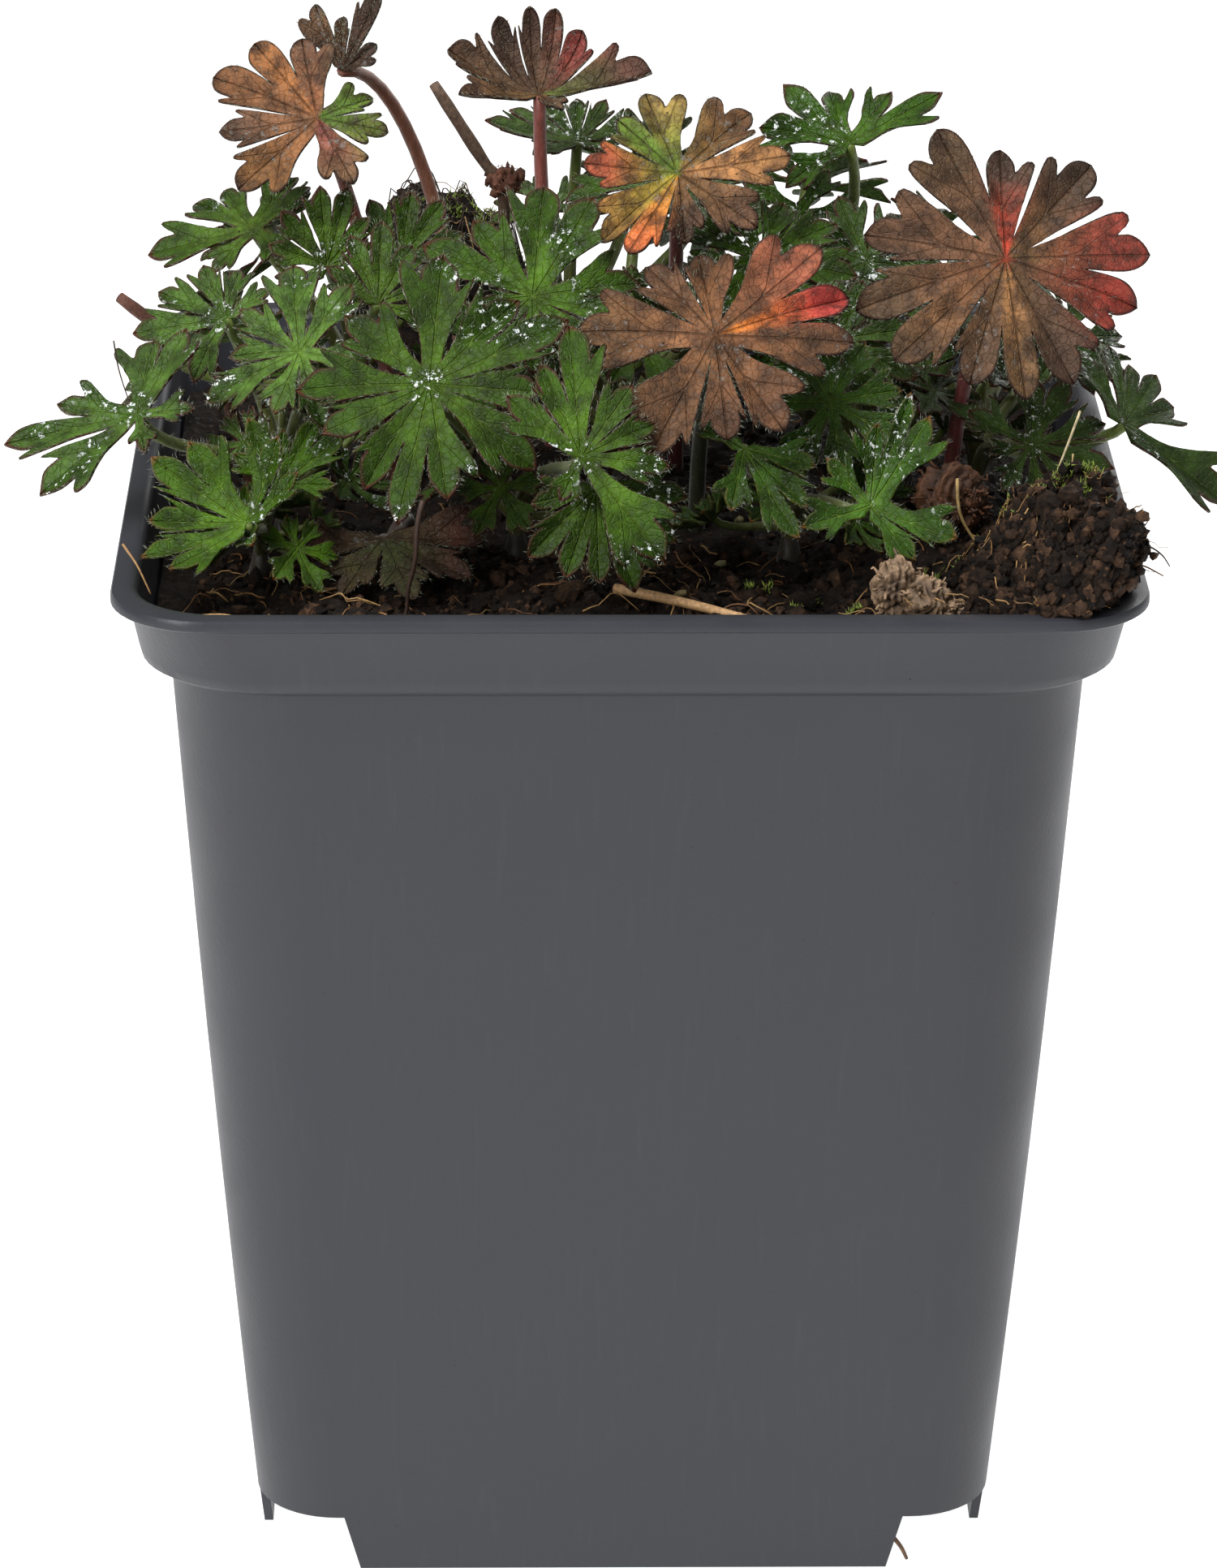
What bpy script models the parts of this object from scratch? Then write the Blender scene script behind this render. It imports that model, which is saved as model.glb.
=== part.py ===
"""A hardy geranium in its square nursery pot: divided leaves on thin stalks, standing in dark peat.

Frame: metres, +Z up, origin at the middle of the pot's foot on the ground, the photographed front toward -Y.
All sizes below are in millimetres and degrees.
"""
import math

import bmesh
import bpy
import numpy as np
from mathutils import Matrix, Vector

MM = 0.001
COLLECTION = "hardy_geranium"
CUTTERS = "cutters"

# Pot: half-widths, corner radii and heights
POT_HEIGHT = 120.0
RIM_HALF = 55.0
RIM_CORNER = 10.4
LIP = 1.2
COLLAR_TOP_HALF = 53.1
COLLAR_FOOT_HALF = 52.4
COLLAR_FOOT = 110.0
BODY_TOP_HALF = 49.36
BODY_TOP_CORNER = 14.2
BODY_FOOT_HALF = 41.14
BODY_FOOT_CORNER = 9.1
WALL = 1.0
BELLY = 0.35
RIM_ROUND = 0.4
RIM_INNER_ROUND = 0.6
LIP_UNDER = 0.8
COLLAR_STEP = 1.8
FLOOR_UNDER = 6.3
FLOOR_TOP = 8.2
FLOOR_ROUND = 1.5
FOOT_HALF_LENGTH = 29.8
FOOT_SLANT = 1.8
CUTOUT_TOP = 6.8
DRAIN_RADIUS = 4.0
DRAIN_OFFSET = 24.0
DRAIN_SIDES = 14

# Peat: level, the clod at the front right corner and the mossy one at the back left
PEAT_LEVEL = 112.6
PEAT_GAP = 0.3
WAVES = ((0.6, 0.31, 1.1, 0.27, -0.4), (0.35, 0.63, 0.0, 0.5, 0.0))
CROWN_AT = (-4.0, 8.0)
CROWN_REACH = (30.0, 26.0)
CROWN_RISE = 3.5
CLOD_AT = (48.0, -39.0)
CLOD_REACH = (12.0, 12.0)
CLOD_RISE = 15.5
CLOD_LUMPS = (1.1, 0.9, 0.4, 0.8)
BACK_CLOD_AT = (-20.5, 40.0)
BACK_CLOD_REACH = (11.0, 6.5)
BACK_CLOD_RISE = 25.0
CLOD_FLAT = 1.3
BACK_CLOD_FLAT = 1.6
SIDE_RISE_AT = (36.0, -18.0)
SIDE_RISE_REACH = (8.0, 7.0)
SIDE_RISE = 5.5
LEDGE = 2.9
LEDGE_FROM = 90.5
LEDGE_FADE = 2.5
LEDGE_THICK = (0.15, 2.2)
TOP_RINGS = (0.95, 0.87, 0.76, 0.62, 0.46, 0.28, 0.10)

# Leaf blades and stalks
BLADE = 0.6
DEEP_CUT = 0.26
SHALLOW_CUT = 0.50
DIVISION_GAP = 27.0
FOLD = 18.0
FOLD_FROM = 0.2
TOOTHED_GAP = 19.0
FULL_GAP = 30.0
TOOTHED_EDGE = ((0.50, 0.22), (0.84, 0.34), (0.76, 0.13))
PLAIN_EDGE = (0.66, 0.56)
STALK_RADIUS = 0.75
AUTUMN_STALK_RADIUS = 0.95
STALK_STEPS = 4
ROOT_DEPTH = 6.0
SHOOT_RADIUS = 2.0
SHOOT_RISE = 2.5
HOLE_GAP = 0.3
HOLE_SIDES = 6
KNOB_SHAPE = (1.15, 1.0, 0.85, 1.0)

GREEN = (0.060, 0.160, 0.025)
YOUNG_GREEN = (0.110, 0.230, 0.035)
BROWN = (0.150, 0.070, 0.035)
PURPLE_GREEN = (0.085, 0.090, 0.050)
DRY = (0.330, 0.200, 0.110)
WOOD = (0.160, 0.085, 0.050)
STRAW = (0.480, 0.330, 0.180)
PEAT = (0.016, 0.011, 0.008)
POT_GREY = (0.072, 0.076, 0.088)

# Leaves of each shoot: where the shoot stands, then a leaf a row.
# A leaf is its stalk's top (x, y, z), the side it faces (0 is the front, 90 the right), how far it leans that way
# from lying flat, how far its lobes curl up, and its lobes as (clock angle, length), with 0 toward the front and
# 90 to the right. A lobe may have a curl of its own.
SHOOTS = {
    "shoot_front": ((-12, -17), GREEN, [
        ((-21.3, -28, 137), 0, 50, 0, [(-130, 12), (-90, 14.5), (-62, 13), (-32, 13.5), (-12, 16.5), (8, 13.5),
                                       (52, 14.5), (85, 12), (115, 16.5), (137, 14), (175, 15.5)]),
        ((-5.1, -36, 131.5), 0, 55, 0, [(-175, 15), (-158, 11.5), (-130, 10.5), (-25, 5.5), (38, 14.5), (85, 9.5),
                                        (118, 9), (145, 9.5)]),
        ((-3.5, -33, 127.0), 10, 60, 0, [(-70, 7.5), (-40, 10.5), (-15, 10.5), (5, 10.5), (25, 12), (60, 10.5),
                                         (90, 10)]),
    ]),
    "shoot_left": ((-38, -8), GREEN, [
        ((-35.4, -22, 138.6), -10, 45, 0, [(-175, 12), (-130, 8.5), (-95, 8), (-68, 11.5), (-20, 8), (15, 9),
                                           (75, 8), (145, 10)]),
        ((-53, -22, 131.5), -25, 35, 0, [(-105, 9.5), (-85, 15.3), (-50, 14), (10, 5), (85, 6.5), (155, 12),
                                         (175, 11)]),
        ((-44, -8, 138), -20, 40, 0, [(-120, 9), (-85, 10.5), (-30, 8), (120, 6), (170, 7), (-160, 8)]),
    ]),
    "shoot_front_left": ((-40, -22), YOUNG_GREEN, [
        ((-41, -33, 123), -25, 45, 15, [(-150, 11.5), (-130, 13), (-100, 11), (-72, 12), (-55, 10), (120, 8),
                                        (150, 10)]),
        ((-37.5, -29, 126.0), 10, 45, 15, [(-150, 8), (-120, 6), (90, 6), (130, 9), (155, 8.5), (180, 6)]),
    ]),
    "shoot_back_left": ((-30, 14), GREEN, [
        ((-41.7, 10, 142.8), -30, 40, 0, [(-150, 8), (-130, 10), (-85, 12.5), (-40, 7), (40, 7), (120, 8),
                                          (145, 8.5)]),
        ((-33, 0, 141.5), 0, 70, 10, [(-175, 9), (-140, 8), (-110, 7), (-60, 7), (60, 7), (110, 7), (140, 7),
                                      (165, 9)]),
        ((-27.3, -6, 139), 15, 50, 0, [(180, 10.5), (155, 9), (-155, 8.5), (120, 8), (80, 7), (-120, 7)]),
        ((-45, 24, 131), -125, 40, 0, 11),
        ((-41, 33, 136), -140, 40, 0, 11),
        ((-51, 9, 128), -85, 45, 0, 10.5),
    ]),
    "shoot_middle": ((0, 0), GREEN, [
        ((-10.2, -12, 141.7), 0, 45, 0, [(-145, 11.5), (-120, 14), (-85, 6), (-45, 9), (0, 9), (45, 9), (75, 10),
                                         (100, 12), (150, 13.5), (175, 14.5)]),
        ((15, -3, 143.3), 0, 45, 0, [(-120, 9.5), (-80, 9), (-40, 9), (0, 9.5), (40, 10), (80, 11), (120, 10),
                                     (160, 8), (-160, 8)]),
        ((2, 14, 147), 20, 15, 0, 10.5),
        ((-15.5, -1, 132), -10, 35, 0, 11),
        ((-25.0, 2.5, 141.0), 10, 60, 5, [(-150, 8), (120, 8), (150, 9), (175, 8.5)]),
        ((12, 14, 134.5), 10, 20, 0, 10.5),
    ]),
    "shoot_middle_right": ((26, -4), GREEN, [
        ((27, 2, 141.3), 10, 40, 0, [(-160, 9), (-110, 9), (-60, 9), (-10, 9), (40, 10), (90, 10), (150, 9)]),
        ((23.5, -12.5, 137), 0, 50, 0, [(-120, 8), (-60, 9), (-15, 9), (25, 9), (60, 9.5), (100, 9), (160, 8)]),
        ((30, 0, 130), 20, 45, 0, 8.5),
    ]),
    "shoot_back": ((-6, 24), GREEN, [
        ((-5, 24, 149), 10, 20, 10, [(-90, 11), (-120, 9), (-150, 8), (180, 7), (150, 7), (110, 8), (60, 6),
                                     (-50, 7)]),
        ((-8, 35, 138), 0, 15, 0, 9),
        ((10, 30, 141), 30, 20, 0, 11),
        ((9, 49, 133), 175, 65, 0, 10),
        ((2, 41, 141), 175, 40, 0, 12),
    ]),
    "shoot_back_right": ((22, 20), GREEN, [
        ((25.3, 10, 152.7), -20, 40, 0, [(-165, 8.5), (-140, 11), (-115, 11.5), (-65, 8.5), (115, 12), (140, 8)]),
        ((20, 15, 143), 15, 50, 0, [(-120, 8), (-70, 9), (-30, 10), (0, 10), (30, 11), (60, 9), (100, 8),
                                    (150, 7)]),
        ((22, 38, 140), 165, 40, 0, 12),
        ((38, 30, 136), 135, 45, 0, 12),
        ((24, 45, 128), 170, 60, 0, 10.5),
    ]),
    "shoot_front_right": ((18, -18), YOUNG_GREEN, [
        ((25.8, -36, 126), 0, 50, 15, [(-135, 7), (-70, 8), (35, 8), (62, 10.5), (145, 11.5), (160, 13),
                                       (175, 9)]),
        ((12.4, -29.5, 130.2), 10, 50, 0, [(-120, 6), (-10, 7.5), (30, 12), (48, 9.5), (80, 8)]),
        ((22, -22, 133), 0, 60, 0, [(-150, 9), (180, 9), (150, 8), (-90, 8), (-30, 8), (10, 8), (60, 9),
                                    (100, 8)]),
    ]),
    "shoot_right": ((40, 2), GREEN, [
        ((55.8, -5, 124.5), 40, 45, 0, [(-180, 12.5), (-150, 11), (65, 15), (125, 9), (150, 10), (170, 9.5)]),
        ((44.5, -16, 126), 0, 45, 0, [(-120, 8), (-80, 5), (-30, 7), (5, 7.5), (40, 8), (75, 9.5), (110, 9),
                                      (150, 9), (175, 8)]),
        ((50, 6, 131), 30, 40, 0, [(-120, 8), (-80, 7), (-30, 8), (20, 8), (60, 9), (110, 8), (160, 8)]),
        ((51, 20, 130), 95, 45, 0, 11),
        ((36, 10, 137), 60, 30, 0, 10.5),
    ]),
}

# Leaves on a stalk of their own: where the stalk enters the peat, colour, then the leaf as above
LONE_LEAVES = {
    "autumn_leaf_top_left": ((-26, 6), BROWN, ((-34, 5, 157), -10, 55, 0, [
        (-170, 10.5), (-145, 12.5), (-120, 14), (-85, 11), (-50, 12), (25, 9), (75, 8), (110, 6.5)])),
    "autumn_leaf_folded": ((-18, 22), BROWN, ((-31.5, 14, 160), -20, 80, 0, [
        (-175, 8), (165, 6), (135, 10), (110, 5)])),
    "autumn_leaf_top_middle": ((-8, 12), BROWN, ((-9.4, 15, 157), 0, 15, 0, [
        (-110, 11.5, 25), (-140, 10, 45), (-170, 10, 52), (165, 10, 52), (140, 9, 40), (100, 13, 8), (30, 5, 10),
        (-75, 9.5, 5)])),
    "autumn_leaf_upper_right": ((6, 6), BROWN, ((5.7, -8, 154.5), 0, 50, 0, [
        (-160, 10.5), (-135, 9.5), (-95, 10.5), (-50, 11), (-30, 11), (5, 8), (55, 10.5), (100, 12.5),
        (135, 11.5)])),
    "autumn_leaf_front": ((8, -10), BROWN, ((9.4, -25, 141.5), 0, 50, 0, [
        (-170, 10), (-140, 11.5), (-95, 15), (-28, 15.5), (5, 12.5), (32, 13.5), (88, 15), (110, 15.5),
        (130, 15)])),
    "autumn_leaf_right": ((36, -10), BROWN, ((41.2, -15, 147), 5, 58, 0, [
        (-175, 12), (-150, 16), (-100, 15.5), (-70, 17), (-45, 17), (-15, 15), (8, 16), (30, 15.5), (75, 15.5),
        (95, 16), (140, 14.5)])),
    "low_purple_leaf": ((-24, -12), PURPLE_GREEN, ((-26.5, -24, 118.0), 0, 25, 0, [
        (-80, 9), (-30, 9), (20, 10), (60, 11), (90, 11)])),
}

# Old woody stems, as radius and points from the peat upward, and the straw, whose height its seat sets
OLD_STEMS = {
    "old_stem_middle": (0.9, [(-13, 26, 108), (-13, 26, 118), (-13.4, 24.5, 136), (-13.4, 24, 144),
                              (-15.4, 24, 146), (-21.4, 24, 155.7)]),
    "old_stem_left": (0.8, [(-42, 2, 107), (-42, 2, 116), (-45, -3, 130), (-55.8, -6, 139.8)]),
}
KNOB = ("old_stem_middle", (-13.2, 24.0, 144.2), 2.3)
STRAW_ENDS = ((-1.3, -28.5, 118.0), (13.2, -38.5, 118.0))
STRAW_RADIUS = 0.6

# Withered leaves curled up on the peat: stalk end, side, lean, curl, size. Their seat sets their height.
CURLED = {
    "withered_leaf_tan": ((30.3, -41.5, 118), 0, 0, 52, 8.6),
    "withered_leaf_brown": ((35.5, -19.5, 124), 0, 0, 70, 8.2),
}

TOWARD_FRONT = np.array([0.0, -0.8, -0.6])


def clear_scene():
    for thing in list(bpy.data.objects):
        bpy.data.objects.remove(thing, do_unlink=True)


def collection(name):
    made = bpy.data.collections.new(name)
    bpy.context.scene.collection.children.link(made)
    return made


def finish(obj, colour, roughness=0.6):
    """Give the object a material of its own."""
    material = bpy.data.materials.new(obj.name)
    material.use_nodes = True
    shader = material.node_tree.nodes["Principled BSDF"]
    shader.inputs["Base Color"].default_value = (*colour, 1.0)
    shader.inputs["Roughness"].default_value = roughness
    shader.inputs["Metallic"].default_value = 0.0
    obj.data.materials.clear()
    obj.data.materials.append(material)


def mesh_object(name, points, faces, group):
    """An object whose points are given in millimetres."""
    mesh = bpy.data.meshes.new(name)
    mesh.from_pydata([tuple(MM * c for c in p) for p in points], [], faces)
    mesh.update()
    obj = bpy.data.objects.new(name, mesh)
    group.objects.link(obj)
    return obj


def apply_modifiers(obj):
    """Keep what the modifiers make as the object's own mesh."""
    shape = obj.evaluated_get(bpy.context.evaluated_depsgraph_get())
    made = bpy.data.meshes.new_from_object(shape)
    obj.modifiers.clear()
    obj.data = made


def outward(mesh):
    """Split every face into triangles and turn them all outward."""
    work = bmesh.new()
    work.from_mesh(mesh)
    bmesh.ops.triangulate(work, faces=work.faces)
    bmesh.ops.recalc_face_normals(work, faces=work.faces)
    work.to_mesh(mesh)
    work.free()


def boolean(obj, group, operation, solver="EXACT"):
    """Join or cut with every object of a collection, then remove them."""
    step = obj.modifiers.new(operation.lower(), "BOOLEAN")
    step.operation = operation
    step.operand_type = "COLLECTION"
    step.collection = group
    step.solver = solver
    apply_modifiers(obj)
    for thing in list(group.objects):
        bpy.data.objects.remove(thing, do_unlink=True)
    bpy.data.collections.remove(group)


def rounded_square(half, corner, per_corner=5, per_side=2):
    """Points round a square with round corners, anticlockwise, in the plane."""
    points = []
    straight = half - corner
    for quarter in range(4):
        turn = math.pi / 2 * quarter
        for k in range(per_corner):
            a = turn + math.pi / 2 * k / (per_corner - 1)
            cx = straight * (1 if quarter in (0, 3) else -1)
            cy = straight * (1 if quarter in (0, 1) else -1)
            points.append((cx + corner * math.cos(a), cy + corner * math.sin(a)))
        x0, y0 = points[-1]
        for k in range(1, per_side + 1):
            run = 2 * straight * k / (per_side + 1)
            points.append((x0 - run * math.cos(turn), y0 - run * math.sin(turn)))
    return points


def loft(name, rings, group):
    """Close a stack of rings of equal count into one solid, with a flat cap at each end."""
    count = len(rings[0])
    points = [p for ring in rings for p in ring]
    faces = []
    for r in range(len(rings) - 1):
        for k in range(count):
            a, b = r * count + k, r * count + (k + 1) % count
            faces.append((a, b, b + count, a + count))
    faces.append(tuple(range(count)))
    last = (len(rings) - 1) * count
    faces.append(tuple(range(last + count - 1, last - 1, -1)))
    obj = mesh_object(name, points, faces, group)
    outward(obj.data)
    return obj


def body_half(z):
    """Half-width of the pot's outer wall at a height, with its slight belly."""
    share = z / COLLAR_FOOT
    return BODY_FOOT_HALF + (BODY_TOP_HALF - BODY_FOOT_HALF) * share + BELLY * math.sin(math.pi * share)


def body_corner(z):
    return BODY_FOOT_CORNER + (BODY_TOP_CORNER - BODY_FOOT_CORNER) * z / COLLAR_FOOT


def pot_ring(half, corner, z):
    return [(x, y, z) for x, y in rounded_square(half, corner)]


def make_pot(group):
    """One moulded sheet: from the inner floor up the inside, over the rim, and down the outside to the feet."""
    walls = (FLOOR_TOP, COLLAR_FOOT / 2, COLLAR_FOOT)
    inner_top = COLLAR_TOP_HALF - WALL
    rows = [(body_half(FLOOR_TOP) - WALL - FLOOR_ROUND, body_corner(FLOOR_TOP) - WALL - 1, FLOOR_TOP)]
    for z in (FLOOR_TOP + FLOOR_ROUND,) + walls[1:]:
        rows.append((body_half(z) - WALL, body_corner(z) - WALL, z))
    rows += [
        (COLLAR_FOOT_HALF - WALL, BODY_TOP_CORNER - WALL, COLLAR_FOOT + WALL),
        (inner_top, RIM_CORNER - WALL, POT_HEIGHT - RIM_INNER_ROUND),
        (inner_top + RIM_INNER_ROUND, RIM_CORNER - RIM_INNER_ROUND, POT_HEIGHT),
        (RIM_HALF - RIM_ROUND, RIM_CORNER, POT_HEIGHT),
        (RIM_HALF, RIM_CORNER, POT_HEIGHT - RIM_ROUND),
        (RIM_HALF, RIM_CORNER, POT_HEIGHT - LIP),
        (COLLAR_TOP_HALF, RIM_CORNER, POT_HEIGHT - LIP - LIP_UNDER),
        (COLLAR_FOOT_HALF, BODY_TOP_CORNER - 1, COLLAR_FOOT + COLLAR_STEP),
        (COLLAR_FOOT_HALF - COLLAR_STEP / 2, BODY_TOP_CORNER - 1, COLLAR_FOOT + COLLAR_STEP / 4),
        (COLLAR_FOOT_HALF - COLLAR_STEP, BODY_TOP_CORNER, COLLAR_FOOT),
    ]
    for z in (COLLAR_FOOT - 1,) + walls[1::-1] + (0.0,):
        rows.append((body_half(z), body_corner(z), z))
    for z in (0.0, FLOOR_UNDER):
        rows.append((body_half(z) - WALL, body_corner(z) - WALL, z))
    rings = [pot_ring(*row) for row in rows]
    pot = loft("pot", rings, group)
    cutters = collection(CUTTERS)
    for sx in (-1, 1):
        for sy in (-1, 1):
            corner_cutter(sx, sy, cutters)
            drain_cutter(sx * DRAIN_OFFSET, sy * DRAIN_OFFSET, cutters)
    drain_cutter(0.0, 0.0, cutters)
    boolean(pot, cutters, "DIFFERENCE")
    finish(pot, POT_GREY, 0.45)
    return pot


def corner_cutter(sx, sy, group):
    """A block at a corner that parts the skirt into four feet with slanted ends."""
    far = RIM_HALF + 10
    low, top = -2.0, CUTOUT_TOP
    near_low = FOOT_HALF_LENGTH - 0.5
    near_top = FOOT_HALF_LENGTH + FOOT_SLANT
    rings = []
    for near, z in ((near_low, low), (near_top, top)):
        rings.append([(sx * near, sy * near, z), (sx * far, sy * near, z),
                      (sx * far, sy * far, z), (sx * near, sy * far, z)])
    cutter = loft("corner_cutter", rings, group)
    cutter.hide_render = True
    cutter.display_type = "WIRE"


def drain_cutter(x, y, group):
    low, top = FLOOR_UNDER - 2, FLOOR_TOP + 2
    cylinder("drain_cutter", (x, y), low, top, DRAIN_RADIUS, DRAIN_RADIUS, DRAIN_SIDES, group, True)


def cylinder(name, at, low, top, low_radius, top_radius, sides, group, cutter=False):
    """An upright cylinder or cone between two heights."""
    mesh = bpy.data.meshes.new(name)
    work = bmesh.new()
    bmesh.ops.create_cone(work, cap_ends=True, segments=sides, radius1=low_radius * MM, radius2=top_radius * MM,
                          depth=(top - low) * MM,
                          matrix=Matrix.Translation(Vector((at[0], at[1], (low + top) / 2)) * MM))
    work.to_mesh(mesh)
    work.free()
    obj = bpy.data.objects.new(name, mesh)
    group.objects.link(obj)
    obj.hide_render = cutter
    obj.display_type = "WIRE" if cutter else "TEXTURED"
    return obj


def knob(at, radius, group):
    """The swollen joint of an old stem."""
    mesh = bpy.data.meshes.new("knob")
    work = bmesh.new()
    place = Matrix.Translation(Vector(at) * MM) @ Matrix.Diagonal(KNOB_SHAPE)
    bmesh.ops.create_uvsphere(work, u_segments=8, v_segments=6, radius=radius * MM, matrix=place)
    work.to_mesh(mesh)
    work.free()
    group.objects.link(bpy.data.objects.new("knob", mesh))


def bump(x, y, at, reach):
    """A smooth hill of height 1 with an elliptic foot."""
    return math.exp(-((x - at[0]) / reach[0]) ** 2 - ((y - at[1]) / reach[1]) ** 2)


def clod_weight(x, y):
    return min(1.0, 2.0 * bump(x, y, CLOD_AT, CLOD_REACH))


def peat_height(x, y):
    """Level peat with low waves, a rise under the crown, and a clod at two places."""
    waves = 0.0
    for height, along_x, from_x, along_y, from_y in WAVES:
        waves += height * math.sin(along_x * x + from_x) * math.cos(along_y * y + from_y)
    crown = CROWN_RISE * bump(x, y, CROWN_AT, CROWN_REACH)
    back = BACK_CLOD_RISE * min(1.0, BACK_CLOD_FLAT * bump(x, y, BACK_CLOD_AT, BACK_CLOD_REACH))
    clod = CLOD_RISE * min(1.0, CLOD_FLAT * bump(x, y, CLOD_AT, CLOD_REACH))
    lump, along_x, from_x, along_y = CLOD_LUMPS
    lumps = lump * clod_weight(x, y) * math.sin(along_x * x + from_x) * math.cos(along_y * y)
    side = SIDE_RISE * bump(x, y, SIDE_RISE_AT, SIDE_RISE_REACH)
    return PEAT_LEVEL + waves + crown + clod + lumps + back + side


def peat_ring(half, corner, height):
    """A ring of the peat's side or top, whose height is a function of place."""
    return [(x, y, height(x, y)) for x, y in rounded_square(half, corner, 4, 4)]


def make_peat(group, holes):
    """The root ball: the pot's inner shape, with a top raised by formula and the clod ledge over the rim."""
    low = FLOOR_TOP + PEAT_GAP
    inset = WALL + PEAT_GAP
    rings = [peat_ring(body_half(low) - inset - FLOOR_ROUND, body_corner(low) - inset - 1, lambda x, y: low)]
    for z in (low + FLOOR_ROUND, COLLAR_FOOT):
        rings.append(peat_ring(body_half(z) - inset, body_corner(z) - WALL, lambda x, y, z=z: z))
    half = COLLAR_FOOT_HALF - inset - 0.1
    corner = BODY_TOP_CORNER - inset - 0.1
    step = COLLAR_FOOT + inset + 0.2
    over = POT_HEIGHT + PEAT_GAP
    rings.append(peat_ring(half, corner, lambda x, y: step))

    def side_top(x, y):
        return step + 0.4 + (over - step - 0.4) * min(1.0, clod_weight(x, y) / 0.6)

    rings.append(peat_ring(half, corner, side_top))
    for lift in LEDGE_THICK:
        ring = []
        for x, y in rounded_square(half, corner, 4, 4):
            corner_share = min(1.0, max(0.0, (x - y - LEDGE_FROM) / LEDGE_FADE))
            far = 1 + LEDGE * corner_share / half
            ring.append((x * far, y * far, side_top(x, y) + lift * (0.25 + clod_weight(x, y))))
        rings.append(ring)
    for share in TOP_RINGS:
        rings.append(peat_ring(half * share, corner * share, peat_height))
    peat = loft("peat", rings, group)
    cutters = collection(CUTTERS)
    for k, (x, y, radius) in enumerate(holes):
        floor = peat_height(x, y) - ROOT_DEPTH - HOLE_GAP
        wide = radius + HOLE_GAP
        cylinder(f"hole_{k}", (x, y), floor, POT_HEIGHT + 20, wide, wide, HOLE_SIDES, cutters, True)
    boolean(peat, cutters, "DIFFERENCE")
    finish(peat, PEAT, 0.95)
    return peat


def leaf_axes(side, lean):
    """The blade's normal, its direction toward the front, and its direction to the right."""
    a, t = math.radians(side), math.radians(lean)
    normal = np.array([math.sin(t) * math.sin(a), -math.sin(t) * math.cos(a), math.cos(t)])
    front = TOWARD_FRONT - normal * (TOWARD_FRONT @ normal)
    front /= np.linalg.norm(front)
    return normal, front, np.cross(normal, front)


def half_lobe(gap):
    """Outline of one side of a lobe as (share of its length, half-width share), from base to tip.

    With room beside it the lobe has a side tooth and a notch, and without it a plain edge.
    """
    room = math.tan(math.radians(min(gap, FULL_GAP)))
    if gap >= TOOTHED_GAP:
        share = room / math.tan(math.radians(FULL_GAP))
        return [(s, w * share) for s, w in TOOTHED_EDGE]
    return [(PLAIN_EDGE[0], PLAIN_EDGE[1] * room)]


def lobe_point(leaf, clock, length, curl, s, w):
    """A point of a lobe: s along it and w across, as shares of its length, bent up by its curl and fold."""
    centre, normal, front, right = leaf
    c = math.radians(clock)
    out = math.cos(c) * front + math.sin(c) * right
    across = math.cos(c) * right - math.sin(c) * front
    past = max(0.0, s - FOLD_FROM)
    bend = math.radians(curl) * (past / (1 - FOLD_FROM)) ** 0.8
    fold = math.radians(FOLD) * min(1.0, past / 0.3)
    up = math.cos(bend) * normal - math.sin(bend) * out
    narrow = 1 - 0.4 * max(0.0, math.sin(bend))
    along = length * s * (math.cos(bend) * out + math.sin(bend) * normal)
    return centre + along + length * w * narrow * (math.cos(fold) * across) + length * abs(w) * math.sin(fold) * up


def fan(size, count=5, open_gap=80):
    """Lobes of an even leaf: the longest opposite the stalk's gap."""
    step = (360 - open_gap) / (count - 1)
    lobes = []
    for k in range(count):
        clock = -180 + open_gap / 2 + k * step
        lobes.append((clock, size * (0.8 + 0.2 * math.cos(math.radians(clock)))))
    return lobes


def blade(name, leaf_row, group):
    """A divided leaf blade: lobes round the stalk's top, each folded along its midrib, given thickness."""
    at, side, lean, curl, lobes = leaf_row
    if not isinstance(lobes, list):
        lobes = fan(lobes)
    lobes = sorted(lobes)
    centre = np.array(at, float)
    leaf = (centre, *leaf_axes(side, lean))
    points, faces, sinuses = [centre], [], []
    count = len(lobes)
    for k in range(count):
        clock, length = lobes[k][:2]
        after, after_length = lobes[(k + 1) % count][:2]
        gap = (after - clock) % 360
        sinuses.append(len(points))
        points.append(cut_point(leaf, clock + gap / 2, min(length, after_length), curl, gap))
    for k in range(count):
        clock, length = lobes[k][:2]
        bend = curl + (lobes[k][2] if len(lobes[k]) > 2 else 0)
        gaps = ((clock - lobes[k - 1][0]) % 360 / 2, (lobes[(k + 1) % count][0] - clock) % 360 / 2)
        middle = len(points)
        points.append(lobe_point(leaf, clock, length, bend, 0.5, 0))
        points.append(lobe_point(leaf, clock, length, bend, 1.0, 0))
        for sign, gap, sinus in ((-1, gaps[0], sinuses[k - 1]), (1, gaps[1], sinuses[k])):
            edge = [sinus]
            for s, w in half_lobe(gap):
                edge.append(len(points))
                points.append(lobe_point(leaf, clock, length, bend, s, sign * w))
            edge.append(middle + 1)
            chain = [0] + edge
            for a, b in zip(chain, chain[1:]):
                faces.append((middle, a, b) if sign > 0 else (middle, b, a))
    obj = mesh_object(name, points, faces, group)
    outward_open(obj.data, Vector(leaf[1]))
    shell = obj.modifiers.new("thickness", "SOLIDIFY")
    shell.thickness = BLADE * MM
    shell.offset = 0.0
    apply_modifiers(obj)
    outward(obj.data)
    return obj


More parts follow.
